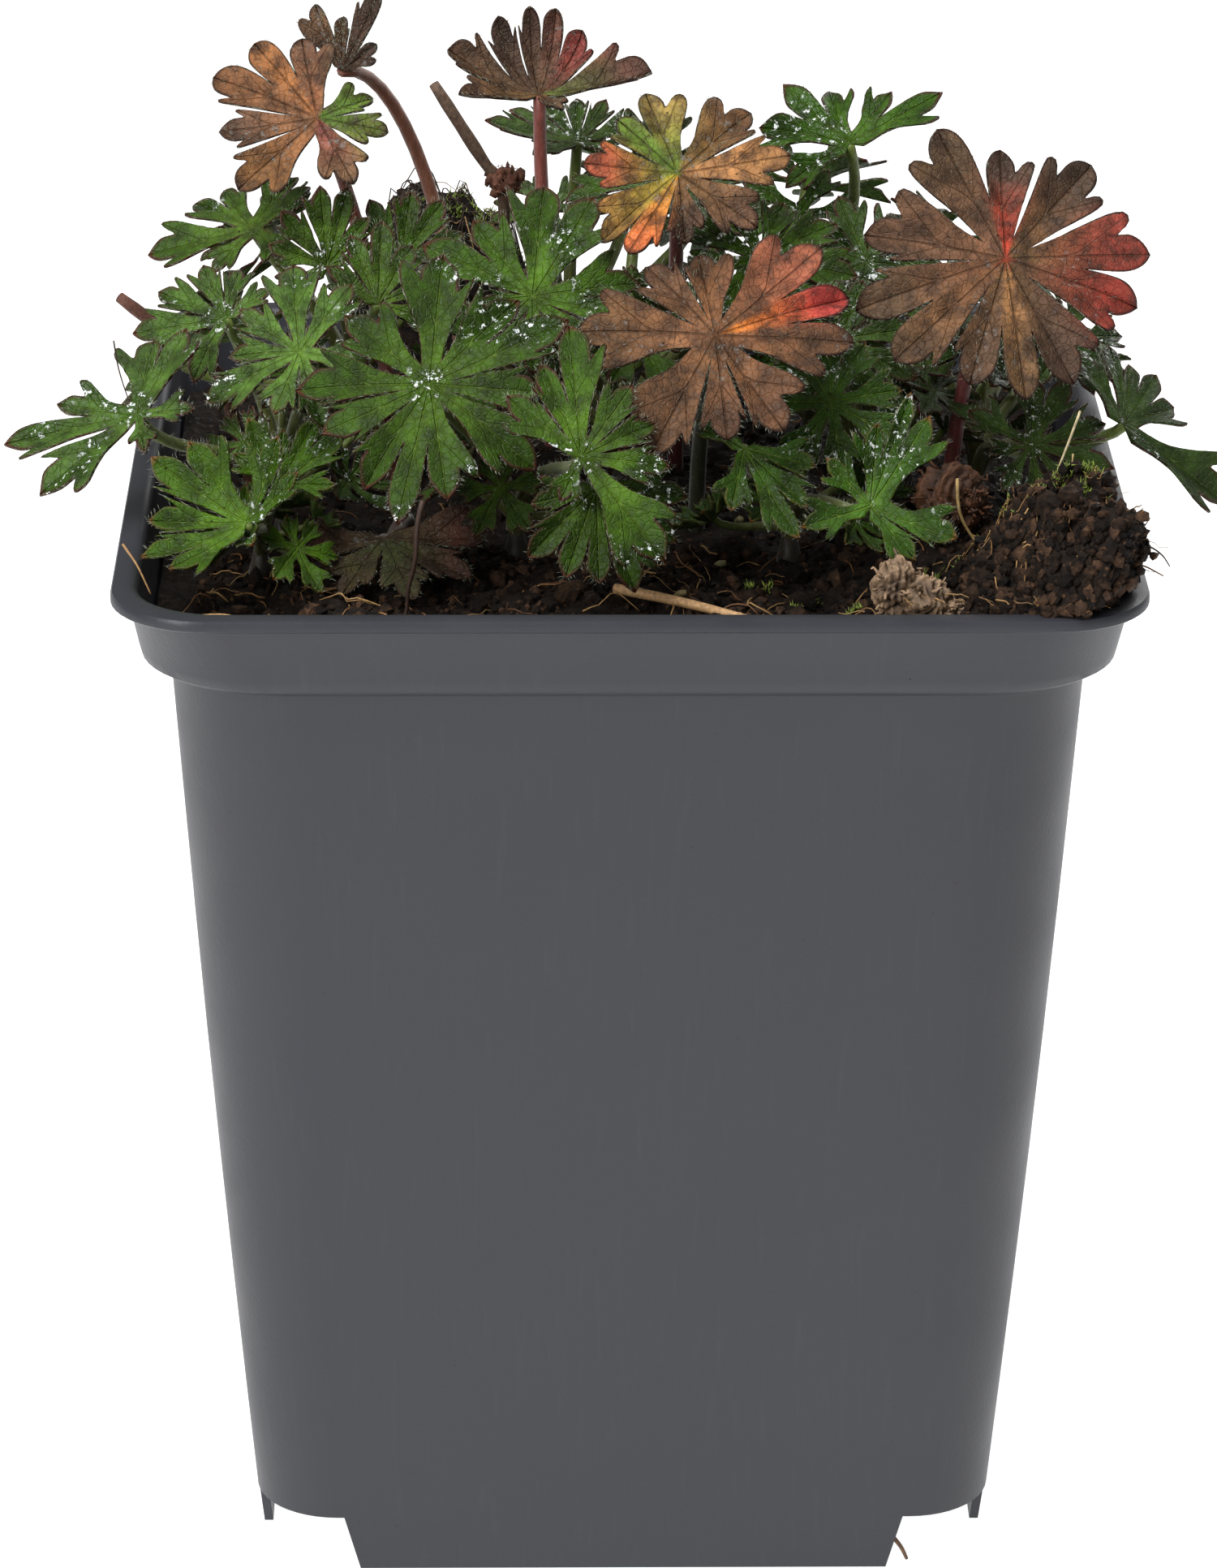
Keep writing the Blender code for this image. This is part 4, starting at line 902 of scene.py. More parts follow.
def add_pot():
    """The moulded pot: inner floor and wall, rim, collar, tapering wall and skirt, then cut at its foot."""
    inner_top = COLLAR_TOP_HALF - WALL
    rings = [ring_at(body_half(FLOOR_TOP) - WALL - FLOOR_ROUND, body_corner(FLOOR_TOP) - WALL - 1, FLOOR_TOP)]
    for z in (FLOOR_TOP + 0.4, FLOOR_TOP + FLOOR_ROUND, *INNER_STEPS, COLLAR_FOOT - 0.6):
        draw = 0.6 if z == FLOOR_TOP + 0.4 else 0
        rings.append(ring_at(body_half(z) - WALL - draw, body_corner(z) - WALL, z))
    rings += [ring_at(*row) for row in (
        (body_half(COLLAR_FOOT) + 0.4, BODY_TOP_CORNER - WALL, COLLAR_FOOT + 0.1),
        (COLLAR_FOOT_HALF - WALL - 0.5, BODY_TOP_CORNER - WALL, COLLAR_FOOT + 0.7),
        (COLLAR_FOOT_HALF - WALL, BODY_TOP_CORNER - WALL, COLLAR_FOOT + 1.6),
        (inner_top, RIM_CORNER - WALL, POT_HEIGHT - 1.3),
        (inner_top + 0.2, RIM_CORNER - WALL, POT_HEIGHT - 0.5),
        (inner_top + 0.7, RIM_CORNER - 0.6, POT_HEIGHT - 0.08),
        (inner_top + 1.1, RIM_CORNER - 0.4, POT_HEIGHT),
        (RIM_HALF - 0.6, RIM_CORNER, POT_HEIGHT),
        (RIM_HALF - 0.17, RIM_CORNER, POT_HEIGHT - 0.13),
        (RIM_HALF, RIM_CORNER, POT_HEIGHT - 0.5),
        (RIM_HALF, RIM_CORNER, POT_HEIGHT - LIP),
        (RIM_HALF - 0.25, RIM_CORNER, POT_HEIGHT - LIP - 0.25),
        (COLLAR_TOP_HALF + 0.5, RIM_CORNER, POT_HEIGHT - LIP - 0.45),
        (COLLAR_TOP_HALF, RIM_CORNER, POT_HEIGHT - LIP - 1.1),
        (COLLAR_FOOT_HALF, BODY_TOP_CORNER - 1, COLLAR_FOOT + 2.2),
        (COLLAR_FOOT_HALF - 0.25, BODY_TOP_CORNER - 1, COLLAR_FOOT + 1.1),
        (COLLAR_FOOT_HALF - 0.9, BODY_TOP_CORNER - 0.5, COLLAR_FOOT + 0.4),
        (COLLAR_FOOT_HALF - 1.9, BODY_TOP_CORNER, COLLAR_FOOT - 0.1),
        (body_half(COLLAR_FOOT - 0.8) + 0.15, BODY_TOP_CORNER, COLLAR_FOOT - 0.5))]
    for z in (COLLAR_FOOT - 1.5, *OUTER_STEPS, FLOOR_TOP, 0.0):
        rings.append(ring_at(body_half(z), body_corner(z), z))
    for z in (0.0, FLOOR_UNDER):
        rings.append(ring_at(body_half(z) - WALL, body_corner(z) - WALL, z))
    points, corners = loft(rings)
    pot = put("moulded_pot", mesh_from("moulded_pot", points, corners))
    cut_pot(pot)
    pot.data.set_sharp_from_angle(angle=math.radians(SHARP_EDGE))
    dress_pot(pot, moulded_plastic(), "pot")


def cut_pot(pot):
    """Part the skirt into four feet with slanted ends, and open the five drain holes."""
    shapes = []
    far = RIM_HALF + 10
    for sx, sy in ((1, 1), (-1, 1), (-1, -1), (1, -1)):
        rings = []
        for near, z in ((FOOT_HALF_LENGTH - 0.5, -2.0), (FOOT_HALF_LENGTH + FOOT_SLANT, CUTOUT_TOP)):
            ring = np.array([(near, near, z), (far, near, z), (far, far, z), (near, far, z)]) * (sx, sy, 1)
            rings.append(ring if sx * sy > 0 else ring[::-1])
        shapes.append(loft(rings))
    turn = np.linspace(0, 2 * np.pi, DRAIN_SIDES + 1)[:-1]
    round_hole = np.stack([DRAIN_RADIUS * np.cos(turn), DRAIN_RADIUS * np.sin(turn), 0 * turn], -1)
    for x, y in [(0, 0)] + [(sx * DRAIN_OFFSET, sy * DRAIN_OFFSET) for sx in (-1, 1) for sy in (-1, 1)]:
        shapes.append(loft([round_hole + (x, y, z) for z in (FLOOR_UNDER - 2, FLOOR_TOP + 2)]))
    heaped = pile()
    for points, corners in shapes:
        heap(heaped, points, corners, 0, 0)
    points, corners = (np.concatenate(heaped[key]) for key in ("points", "corners"))
    cutter = put("cutter", mesh_from("cutter", points, corners))
    step = pot.modifiers.new("cut", "BOOLEAN")
    step.object = cutter
    step.operation = "DIFFERENCE"
    step.solver = "EXACT"
    made = bpy.data.meshes.new_from_object(pot.evaluated_get(bpy.context.evaluated_depsgraph_get()))
    pot.modifiers.clear()
    pot.data = made
    bpy.data.objects.remove(cutter)


def dress_pot(obj, material, node):
    """Give the pot its material, and let it ride on the part and stand for its node."""
    obj.data.materials.clear()
    obj.data.materials.append(material)
    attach(obj, "root")
    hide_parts(node)


def add_loose_fibres(heaped):
    """The separate roots and dead stems that stand or hang at the edges: a bent tube each."""
    for points, radius, colour in LOOSE_FIBRES:
        path = bent_path(points, 14, 3)
        tube_points, corners = tube(path, radius * np.linspace(1, 0.55, len(path)), 6)
        heap(heaped, tube_points, corners, 1, linear(colour))


def crumb_shape():
    """The twelve points and twenty faces of an icosahedron of radius 1."""
    work = bmesh.new()
    bmesh.ops.create_icosphere(work, subdivisions=1, radius=1.0)
    points = np.array([v.co for v in work.verts])
    corners = np.array([[v.index for v in f.verts] for f in work.faces])
    work.free()
    return points, corners


def ground(x, y):
    """The peat's height with its crumbly relief, coarser on the clods, the back one sagging at its sides."""
    back = bump(x, y, BACK_CLOD_AT, BACK_CLOD_REACH)
    rough = ROUGHNESS + CLOD_ROUGHNESS * clod_weight(x, y) + BACK_CLOD_ROUGHNESS * back
    relief = sum(height * noise(x, y, cell, seed) for height, cell, seed in RELIEF)
    height, cell, seed = BACK_LUMPS
    lumps = height * noise(x, y, cell, seed) * np.minimum(1, 3 * back)
    aside = x - BACK_CLOD_AT[0]
    sag = 2.4 * np.clip((aside + 2) / 6, 0, 1) + 4.5 * np.clip(-(aside + 5) / 4, 0, 1)
    return peat_height(x, y) + rough * (relief - 0.4) + lumps - sag * np.minimum(1, 2 * back)


def add_peat():
    """The root ball as stacked rings: inside the pot, up to the rim, over it at the clod, and inward."""
    inset = WALL + PEAT_GAP
    low = FLOOR_TOP + PEAT_GAP
    count = (9, 30)
    rings = [ring_at(body_half(low) - inset - FLOOR_ROUND, body_corner(low) - inset - 1, low, *count)]
    for z in (low + FLOOR_ROUND, 60, COLLAR_FOOT - 0.8):
        rings.append(ring_at(body_half(z) - inset, body_corner(z) - WALL, z, *count))
    half = COLLAR_FOOT_HALF - inset - 0.1
    corner = BODY_TOP_CORNER - inset - 0.1
    step = COLLAR_FOOT + inset + 0.2
    rings.append(ring_at(half, corner, step, *count))
    edge = ring_at(half, corner, 0, *count)
    x, y = edge[:, 0], edge[:, 1]
    side_top = step + 0.4 + (POT_HEIGHT + PEAT_GAP - step - 0.4) * np.minimum(1, clod_weight(x, y) / 0.6)
    rings.append(np.column_stack([x, y, side_top]))
    far = LEDGE * np.clip((x - y - LEDGE_FROM) / LEDGE_FADE, 0, 1) / half
    brink = ground(0.965 * x, 0.965 * y)
    first = len(rings)
    for lift, out in CLOD_SIDE:
        ragged = sum(noise(x + y, side_top + 30 * lift, cell, seed) for cell, seed in RAGGED)
        grow = 1 + far * (out + 0.3 * ragged)
        level = side_top + np.maximum(0.4, brink - side_top) * lift
        rings.append(np.column_stack([x * grow, y * grow, level]))
    for share in np.concatenate([[0.975, 0.965], np.linspace(0.953, 0.02, 66)]):
        flat = ring_at(half * share, corner * share, 0, *count)
        px, py = flat[:, 0], flat[:, 1]
        rings.append(np.column_stack([px, py, ground(px, py)]))
    flank = np.stack(rings[first:first + len(CLOD_SIDE) + 1])
    heaped = pile()
    points, corners = loft(rings)
    heap(heaped, points, corners, 0, linear(PEAT_DARK))
    rng = np.random.default_rng(PEAT_SEED)
    add_crumbs(heaped, rng)
    add_flank(heaped, flank, rng)
    add_roots(heaped, rng)
    add_moss(heaped, rng)
    add_loose_fibres(heaped)
    skins = [damp_peat()] + [tinted_fibre(*row) for row in (
        ("dry_fine_root", 0.6, 0.05, 0.5), ("living_cushion_moss", 0.6, 0.05, 0.6),
        ("woolly_dead_fibre", 0.8, 0.05, 0.5))]
    peat = make_piece("crumbly_peat", heaped, skins, ("peat",))
    slots = np.zeros(len(peat.data.polygons), np.int32)
    peat.data.polygons.foreach_get("material_index", slots)
    peat.data.polygons.foreach_set("use_smooth", slots > 0)


def scatter(rng, count):
    """Random places on the peat, more of them near the front and on the clod, clear of the pot's wall."""
    x = rng.uniform(-PEAT_HALF, PEAT_HALF, count)
    y = np.where(rng.random(count) < FRONT_SHARE, rng.uniform(-PEAT_HALF, PEAT_HALF, count),
                 rng.uniform(-PEAT_HALF, FRONT_STRIP, count))
    near = rng.random(count) < CLOD_SHARE
    return [np.where(near, np.clip(rng.normal(middle, CLOD_SPREAD, count), low, high), value)
            for value, (middle, low, high) in zip((x, y), CLOD_TOP)]


def add_crumbs(heaped, rng):
    """Crumbs all over the peat, half sunk."""
    x, y = scatter(rng, CRUMBS)
    size = np.clip(rng.lognormal(*CRUMB_SIZE, len(x)), *CRUMB_LIMITS)
    heap_crumbs(heaped, np.stack([x, y, ground(x, y) + 0.25 * size], -1), size, rng)


def heap_crumbs(heaped, places, size, rng):
    """Small jittered twenty-faced lumps of peat at places."""
    count = len(places)
    ball, faces = crumb_shape()
    shape = ball[None] * rng.uniform(0.65, 1.25, (count, len(ball), 1)) * rng.uniform(0.7, 1.2, (count, 1, 3))
    points = shape * size[:, None, None] + places[:, None]
    corners = faces[None] + len(ball) * np.arange(count)[:, None, None]
    shade = (0.25 + 3.2 * rng.random(count) ** 2)[:, None, None] * linear(CRUMB)
    heap(heaped, points.reshape(-1, 3), corners.reshape(-1, 3), 0,
         np.broadcast_to(shade, (count, len(ball), 3)).reshape(-1, 3))


def flank_places(flank, count, rng):
    """Random places on the clod's outer side: each is a blend of four neighbouring points of its rings.

    The last strip, over the brink, is the widest and gets three times as many.
    """
    k = np.minimum(rng.integers(0, len(flank) + 1, 20 * count), len(flank) - 2)
    i = rng.integers(0, flank.shape[1], 20 * count)
    beside = (i + 1) % flank.shape[1]
    s, t = rng.random((2, 20 * count, 1))
    lower = flank[k, i] * (1 - s) + flank[k, beside] * s
    upper = flank[k + 1, i] * (1 - s) + flank[k + 1, beside] * s
    places = lower * (1 - t) + upper * t
    return places[clod_weight(places[:, 0], places[:, 1]) > 0.04][:count]


def add_flank(heaped, flank, rng):
    """The clod's steep sides: crumbs that stick to them, and short roots that poke out of the outer one."""
    x, y = (rng.uniform(*span, BRINK_CRUMBS) for span in BRINK)
    brink = np.stack([x, y, ground(x, y) + 0.15], -1)
    heap_crumbs(heaped, brink, rng.uniform(*FLANK_CRUMB_SIZE, BRINK_CRUMBS), rng)
    places = flank_places(flank, FLANK_CRUMBS, rng) + rng.normal(0, 0.25, (FLANK_CRUMBS, 3))
    heap_crumbs(heaped, places, rng.uniform(*FLANK_CRUMB_SIZE, FLANK_CRUMBS), rng)
    t = np.linspace(0, 1, 7)
    for base in flank_places(flank, FLANK_ROOTS, rng):
        out = unit(np.array([base[0], base[1], 0.0]) * 0.5 + rng.normal(0, 22, 3))
        drift = np.cumsum(rng.normal(0, 0.3, (7, 3)), axis=0)
        path = base + out * 0.2 + rng.uniform(1.0, 2.6) * t[:, None] * out + 0.6 * drift
        path = np.clip(path, *CLOD_ROOT_BOX)
        points, corners = tube(path, rng.uniform(0.05, 0.13) * (1 - 0.5 * t), 4)
        heap(heaped, points, corners, 1, linear(CLOD_ROOT) * rng.uniform(0.3, 1.0))


def add_roots(heaped, rng):
    """Fine roots: thin stems that wander over the peat in short curves."""
    tan, orange = linear(ROOT_TAN), linear(ROOT_ORANGE)
    for _ in range(ROOTS):
        x, y = scatter(rng, 1)
        t = np.linspace(0, 1, 9)
        heading = rng.uniform(0, 2 * np.pi) + rng.uniform(-2.2, 2.2) * t
        heading = heading + 0.5 * np.sin(7 * t + rng.uniform(0, 6))
        length = rng.uniform(*ROOT_LENGTH) * (0.6 if x > 36 and y < -28 else 1)
        px = np.clip(x + np.cumsum(np.cos(heading)) * length / 9, -ROOT_LIMIT, FRONT_RIGHT_LIMIT)
        py = np.clip(y + np.cumsum(np.sin(heading)) * length / 9, -FRONT_RIGHT_LIMIT, ROOT_LIMIT)
        arch = rng.uniform(0.1, 1.3) * np.sin(np.pi * t) + 0.12
        radius = rng.uniform(*ROOT_RADIUS)
        path = np.column_stack([px, py, ground(px, py) + arch])
        points, corners = tube(path, radius * (1 - 0.5 * t), 4, UPWARD)
        mix = rng.random()
        heap(heaped, points, corners, 1, (tan * mix + orange * (1 - mix)) * rng.uniform(0.45, 1.0))


def add_moss(heaped, rng):
    """Moss in tufts of short broad yellow-green spikes, and woolly debris in low curls on the back clod."""
    for middle, spread, count in MOSS:
        tuft = rng.normal(0, 1, (count // TUFT, 2)) * spread + middle
        pick = rng.integers(0, len(tuft), count)
        xy = np.clip(tuft[pick] + rng.normal(0, 0.35, (count, 2)), -FRONT_RIGHT_LIMIT, FRONT_RIGHT_LIMIT)
        base = np.column_stack([xy, ground(xy[:, 0], xy[:, 1]) + 0.35])
        toward = rng.normal(0, 0.55, (count, 3)) + (0, -0.1, 1)
        points, corners = spikes(base, toward, rng.uniform(0.5, 1.2, count), 0.13)
        colour = linear(MOSS_GREEN) * rng.uniform(0.4, 1.3, (count, 1))
        heap(heaped, points, corners, 2, np.repeat(colour, 4, axis=0))
    t = np.linspace(0, 1, 6)
    for x, y in rng.normal(0, 1, (DEBRIS_CURLS, 2)) * DEBRIS_SPREAD + DEBRIS_AT:
        turn = rng.uniform(0, 2 * np.pi) + rng.uniform(-1.5, 1.5) * t
        px = x + np.cumsum(np.cos(turn)) * 0.7
        py = y + np.cumsum(np.sin(turn)) * 0.5
        top = ground(px, py) + rng.uniform(0.2, 1.9) * np.sin(np.pi * t) + 0.1
        points, corners = tube(np.column_stack([px, py, top]), 0.09, 3, UPWARD)
        heap(heaped, points, corners, 3, linear(DEBRIS))


def add(tree, kind, inputs=(), **settings):
    """Add a shader node, set its options, and set or link its sockets."""
    node = tree.nodes.new("ShaderNode" + kind)
    for key, value in settings.items():
        setattr(node, key, value)
    feed(node, inputs)
    return node


def feed(node, inputs):
    """Set or link a node's sockets, by name or by number: a node stands for its first output in use."""
    for key, value in inputs.items() if isinstance(inputs, dict) else enumerate(inputs):
        if isinstance(value, bpy.types.Node):
            value = next(socket for socket in value.outputs if socket.enabled)
        if isinstance(value, bpy.types.NodeSocket):
            node.id_data.links.new(value, node.inputs[key])
        else:
            node.inputs[key].default_value = value


def surface(name, **sockets):
    """A material with its shader's own sockets set; gives it, its tree, its shader and the place."""
    material = bpy.data.materials.new(name)
    material.use_nodes = True
    tree = material.node_tree
    shader = tree.nodes["Principled BSDF"]
    feed(shader, {key.replace("_", " "): value for key, value in sockets.items()})
    return material, tree, shader, add(tree, "TexCoord").outputs["Object"]


def tinted(tree, texture, low, high, dark, light):
    """The colour that a piece's points carry, times dark to light where a texture goes from low to high."""
    tint = add(tree, "Attribute", attribute_name="tint")
    shade = add(tree, "MapRange", (texture, low, high, dark, light))
    return add(tree, "Mix", {0: 1.0, 6: tint, 7: shade}, data_type="RGBA", blend_type="MULTIPLY")


def layered(tree, base, *covers):
    """Colours laid over a base one after another, each as far as its cover says."""
    for cover, colour in covers:
        base = add(tree, "Mix", {0: cover, 6: base, 7: rgba(colour)}, data_type="RGBA")
    return base


def coat(shader, colour, height, depth, strength, **sockets):
    """Give a surface its colour, and a fine relief of a depth in millimetres."""
    relief = add(shader.id_data, "Bump", {"Height": height, "Distance": depth * MM, "Strength": strength})
    feed(shader, {"Base Color": colour, "Normal": relief, **sockets})


def per_mm(size):
    """A texture's scale for features of a size in millimetres, on Object coordinates in metres."""
    return 1 / (size * MM)


def blade_skin(name, bloom, vein, margin, tip, bloom_share, vein_share, margin_wide, blotch, blotched, wet):
    """A leaf's skin: soft tissue over a net of veins, silky down, a darker margin, blotches and a water film.

    Vein net 0.9 mm, down 0.25 mm, mottling 2.5 mm, blotches 1.6 mm. The water lies in patches of 9 mm and
    round the stalk's top: it is smooth, and drops of 0.8 mm in it carry a near-white painted highlight; the
    rest is satin.
    """
    material, tree, shader, place = surface(
        name, Sheen_Weight=0.01, Sheen_Roughness=0.5, Sheen_Tint=rgba(bloom), Subsurface_Weight=0.05,
        Subsurface_Scale=0.0006, Specular_IOR_Level=0.2)
    leaf = add(tree, "Attribute", attribute_name="leaf").outputs["Vector"]
    from_vein, from_rim, outward = add(tree, "SeparateXYZ", [leaf]).outputs
    mottle = add(tree, "TexNoise", {"Vector": place, "Scale": per_mm(2.5), "Detail": 4.0})
    patch = add(tree, "TexNoise", {"Vector": place, "Scale": per_mm(1.6), "Detail": 5.0, "Roughness": 0.65})
    dark = add(tree, "MapRange", (patch, 0.50, 0.62, 0.0, blotched))
    net = add(tree, "TexVoronoi", {"Vector": place, "Scale": per_mm(0.9)}, feature="DISTANCE_TO_EDGE")
    fine = add(tree, "MapRange", (net, 0.0, 0.10, 1.0, 0.0))
    rib = add(tree, "MapRange", (from_vein, 0.03, 0.16, 1.0, 0.0))
    heart = add(tree, "MapRange", (outward, 0.02, 0.16, 0.75, 0.0))
    pale = add(tree, "Math", (rib, heart), operation="MAXIMUM")
    netted = add(tree, "Math", (fine, 0.25), operation="MULTIPLY")
    ribbed = add(tree, "Math", (pale, netted), operation="MAXIMUM")
    veined = add(tree, "Math", (ribbed, vein_share), operation="MULTIPLY")
    down = add(tree, "TexNoise", {"Vector": place, "Scale": per_mm(0.25), "Detail": 2.0, "Roughness": 0.7})
    silky = add(tree, "MapRange", (down, 0.48, 0.70, 0.15 * bloom_share, bloom_share))
    edge = add(tree, "MapRange", (from_rim, 0.05, margin_wide, 1.0, 0.0))
    patchy = add(tree, "MapRange", (mottle, 0.35, 0.6, 0.35, 1.0))
    edged = add(tree, "Math", (edge, patchy), operation="MULTIPLY")
    point = add(tree, "MapRange", (outward, 0.93, 1.0, 0.0, 0.8))
    soil = add(tree, "TexVoronoi", {"Vector": place, "Scale": per_mm(1.9)})
    speck = add(tree, "MapRange", (soil, 0.05, 0.09, 0.85, 0.0))
    base = layered(tree, tinted(tree, mottle, 0.32, 0.68, 0.34, 1.70), (dark, blotch), (veined, vein),
                   (silky, bloom), (edged, margin), (point, tip), (speck, SOIL_SPECK))
    damp = add(tree, "TexNoise", {"Vector": place, "Scale": per_mm(9.0), "Detail": 1.0})
    pool = add(tree, "MapRange", (outward, 0.05, 0.32, 0.08, 0.0))
    pooled = add(tree, "Math", (damp, pool), operation="ADD")
    film = add(tree, "MapRange", (pooled, 0.56, 0.62, 0.0, wet))
    soaked = add(tree, "Mix", {0: film, 6: WHITE, 7: SOAKED}, data_type="RGBA")
    darker = add(tree, "Mix", {0: 1.0, 6: base, 7: soaked}, data_type="RGBA", blend_type="MULTIPLY")
    # Painted highlight: near-white spots of 0.8 mm, mixed into the colour where the water film lies, stand in
    # for glints of the lamps
    drops = add(tree, "TexNoise", {"Vector": place, "Scale": per_mm(0.8), "Detail": 4.0, "Roughness": 0.7})
    painted_glint_spots = add(tree, "MapRange", (drops, 0.59, 0.63, 0.0, 1.0))
    glint = add(tree, "Math", (film, painted_glint_spots), operation="MULTIPLY")
    gloss = add(tree, "MapRange", (film, 0.0, 1.0, 0.50, 0.14))
    groove = add(tree, "Math", (rib, -1.6), operation="MULTIPLY")
    relief = add(tree, "Math", (fine, -0.6, groove), operation="MULTIPLY_ADD")
    grain = add(tree, "Math", (down, 0.9, relief), operation="MULTIPLY_ADD")
    coat(shader, layered(tree, darker, (glint, PAINTED_WATER_GLINT)), grain, 0.14, 0.9, Roughness=gloss)
    return material


def stalk_skin(name):
    """A soft round stalk: its own colour, streaked lengthwise every 0.35 mm."""
    material, tree, shader, place = surface(name, Roughness=0.5, Sheen_Weight=0.3, Subsurface_Weight=0.06,
                                            Subsurface_Scale=0.0006)
    streak = add(tree, "Mapping", {"Vector": place, "Scale": (1.0, 1.0, 0.2)})
    fibre = add(tree, "TexNoise", {"Vector": streak, "Scale": per_mm(0.35), "Detail": 3.0})
    coat(shader, tinted(tree, fibre, 0.3, 0.7, 0.7, 1.25), fibre, 0.1, 0.7)
    return material


def silk_hair():
    """Plant hairs: pale and a little translucent, so they catch the light as a fringe."""
    material, tree, shader, place = surface("silky_leaf_hair", Roughness=0.35, Subsurface_Weight=0.2,
                                            Subsurface_Scale=0.0005)
    mottle = add(tree, "TexNoise", {"Vector": place, "Scale": per_mm(3.0)})
    feed(shader, {"Base Color": layered(tree, rgba("#9ea488"), (mottle, "#c8ccb4"))})
    return material


def moulded_plastic():
    """Injection-moulded recycled polypropylene: dark blue-grey, satin, fine grain, scuffs and dust."""
    material, tree, shader, place = surface("moulded_grey_polypropylene", Specular_IOR_Level=0.5)
    cloud = add(tree, "TexNoise", {"Vector": place, "Scale": per_mm(14.0), "Detail": 4.0})
    drawn = add(tree, "Mapping", {"Vector": place, "Scale": (1.0, 1.0, 0.06)})
    scuff = add(tree, "TexNoise", {"Vector": drawn, "Scale": per_mm(0.9), "Detail": 4.0})
    worn = add(tree, "MapRange", (scuff, 0.58, 0.74, 0.0, 0.08))
    grit = add(tree, "TexVoronoi", {"Vector": place, "Scale": per_mm(4.5)})
    dust = add(tree, "MapRange", (grit, 0.02, 0.05, 0.8, 0.0))
    base = layered(tree, rgba("#292a30"), (cloud, "#303138"), (worn, "#4f5156"), (dust, "#2b211b"))
    satin = add(tree, "MapRange", (cloud, 0.3, 0.7, 0.40, 0.52))
    grain = add(tree, "TexNoise", {"Vector": place, "Scale": per_mm(0.5), "Detail": 2.0})
    coat(shader, base, grain, 0.06, 0.5, Roughness=satin)
    return material


def damp_peat():
    """Damp potting peat: near black, brown where it is dry, crumbly, with wet grains that glint."""
    material, tree, shader, place = surface("damp_crumbly_peat", Specular_IOR_Level=0.22)
    crumb = add(tree, "TexNoise", {"Vector": place, "Scale": per_mm(1.1), "Detail": 6.0, "Roughness": 0.7})
    bits = add(tree, "TexVoronoi", {"Vector": place, "Scale": per_mm(1.6)})
    fibre = add(tree, "MapRange", (bits, 0.08, 0.16, 0.8, 0.0))
    base = layered(tree, tinted(tree, crumb, 0.34, 0.68, 0.15, 2.6), (fibre, "#5c4028"))
    damp = add(tree, "TexNoise", {"Vector": place, "Scale": per_mm(0.7), "Detail": 2.0})
    coat(shader, base, crumb, 0.6, 1.0, Roughness=add(tree, "MapRange", (damp, 0.58, 0.66, 0.85, 0.22)))
    return material


def tinted_fibre(name, rough, bump_mm, grain_mm):
    """A dry plant fibre in its own colour, with a fine uneven grain."""
    material, tree, shader, place = surface(name, Roughness=rough)
    grain = add(tree, "TexNoise", {"Vector": place, "Scale": per_mm(grain_mm), "Detail": 4.0})
    coat(shader, tinted(tree, grain, 0.3, 0.7, 0.6, 1.3), grain, bump_mm, 0.9)
    return material


def main():
    """Build every piece, then the stage."""
    blades = {kind: [blade_skin(*row) for row in rows] for kind, rows in BLADE_SKINS.items()}
    soft = [stalk_skin("hairy_round_stalk"), silk_hair()]
    rng = np.random.default_rng(PLANT_SEED)
    add_pot()
    add_peat()
    for name, (at, kind, rows) in SHOOTS.items():
        foot = peat_height(*at)
        heaped = pile()
        points, corners = tube([(*at, foot - 3), (*at, foot), (*at, foot + SHOOT_RISE)],
                               SHOOT_RADIUS * np.array([0.8, 0.7, 0.4]), 12, np.array([1.0, 0.0, 0.0]))
        heap(heaped, points, corners, 2, linear(SHOOT_FOOT))
        add_low_leaves(heaped, at, foot, GREEN_LOOKS[name], rng)
        for row in rows:
            add_blade(heaped, row, GREEN_LOOKS[name], rng, slim=SLIM.get(name, 1.0))
            path = stalk_path((*at, foot + SHOOT_RISE - 1), row)
            add_stalk(heaped, path, STALK_RADIUS, STALK_FOOT, STALK_GREEN, rng)
        make_piece(f"dressed_{name}", heaped, blades[kind] + soft, (name,))
    for name, (at, row) in LONE_LEAVES.items():
        foot = peat_height(*at)
        stalk, colours = AUTUMN_LOOKS[name]
        heaped = pile()
        add_blade(heaped, row, colours, rng, 0.012, slim=0.0)
        path = np.concatenate([[(*at, foot - 3)], stalk_path((*at, foot + 0.5), row)])
        add_stalk(heaped, path, AUTUMN_STALK_RADIUS, stalk, stalk, rng)
        make_piece(f"dressed_{name}", heaped, blades["autumn"] + soft, (name,))
    add_old_stems(rng)
    add_straw()
    add_withered(rng)
    add_stage()


def add_old_stems(rng):
    """Dead woody stems: a bark tube with ridges, and a shaggy joint of flakes round a core."""
    bark = tinted_fibre("weathered_stem_bark", 0.75, 0.15, 0.5)
    for name, (radius, points, colour) in OLD_STEMS.items():
        path = bent_path(points, 40, 1)
        share = np.linspace(0, 1, len(path))
        ripple = 1 + 0.08 * np.sin(23 * share) + 0.05 * np.sin(61 * share)
        heaped = pile()
        tube_points, corners = tube(path, radius * (1 - 0.15 * share) * ripple, 12)
        heap(heaped, tube_points, corners, 0, linear(colour))
        if name == KNOB[0]:
            add_knob(heaped, rng)
        make_piece(f"dressed_{name}", heaped, [bark], (name,))


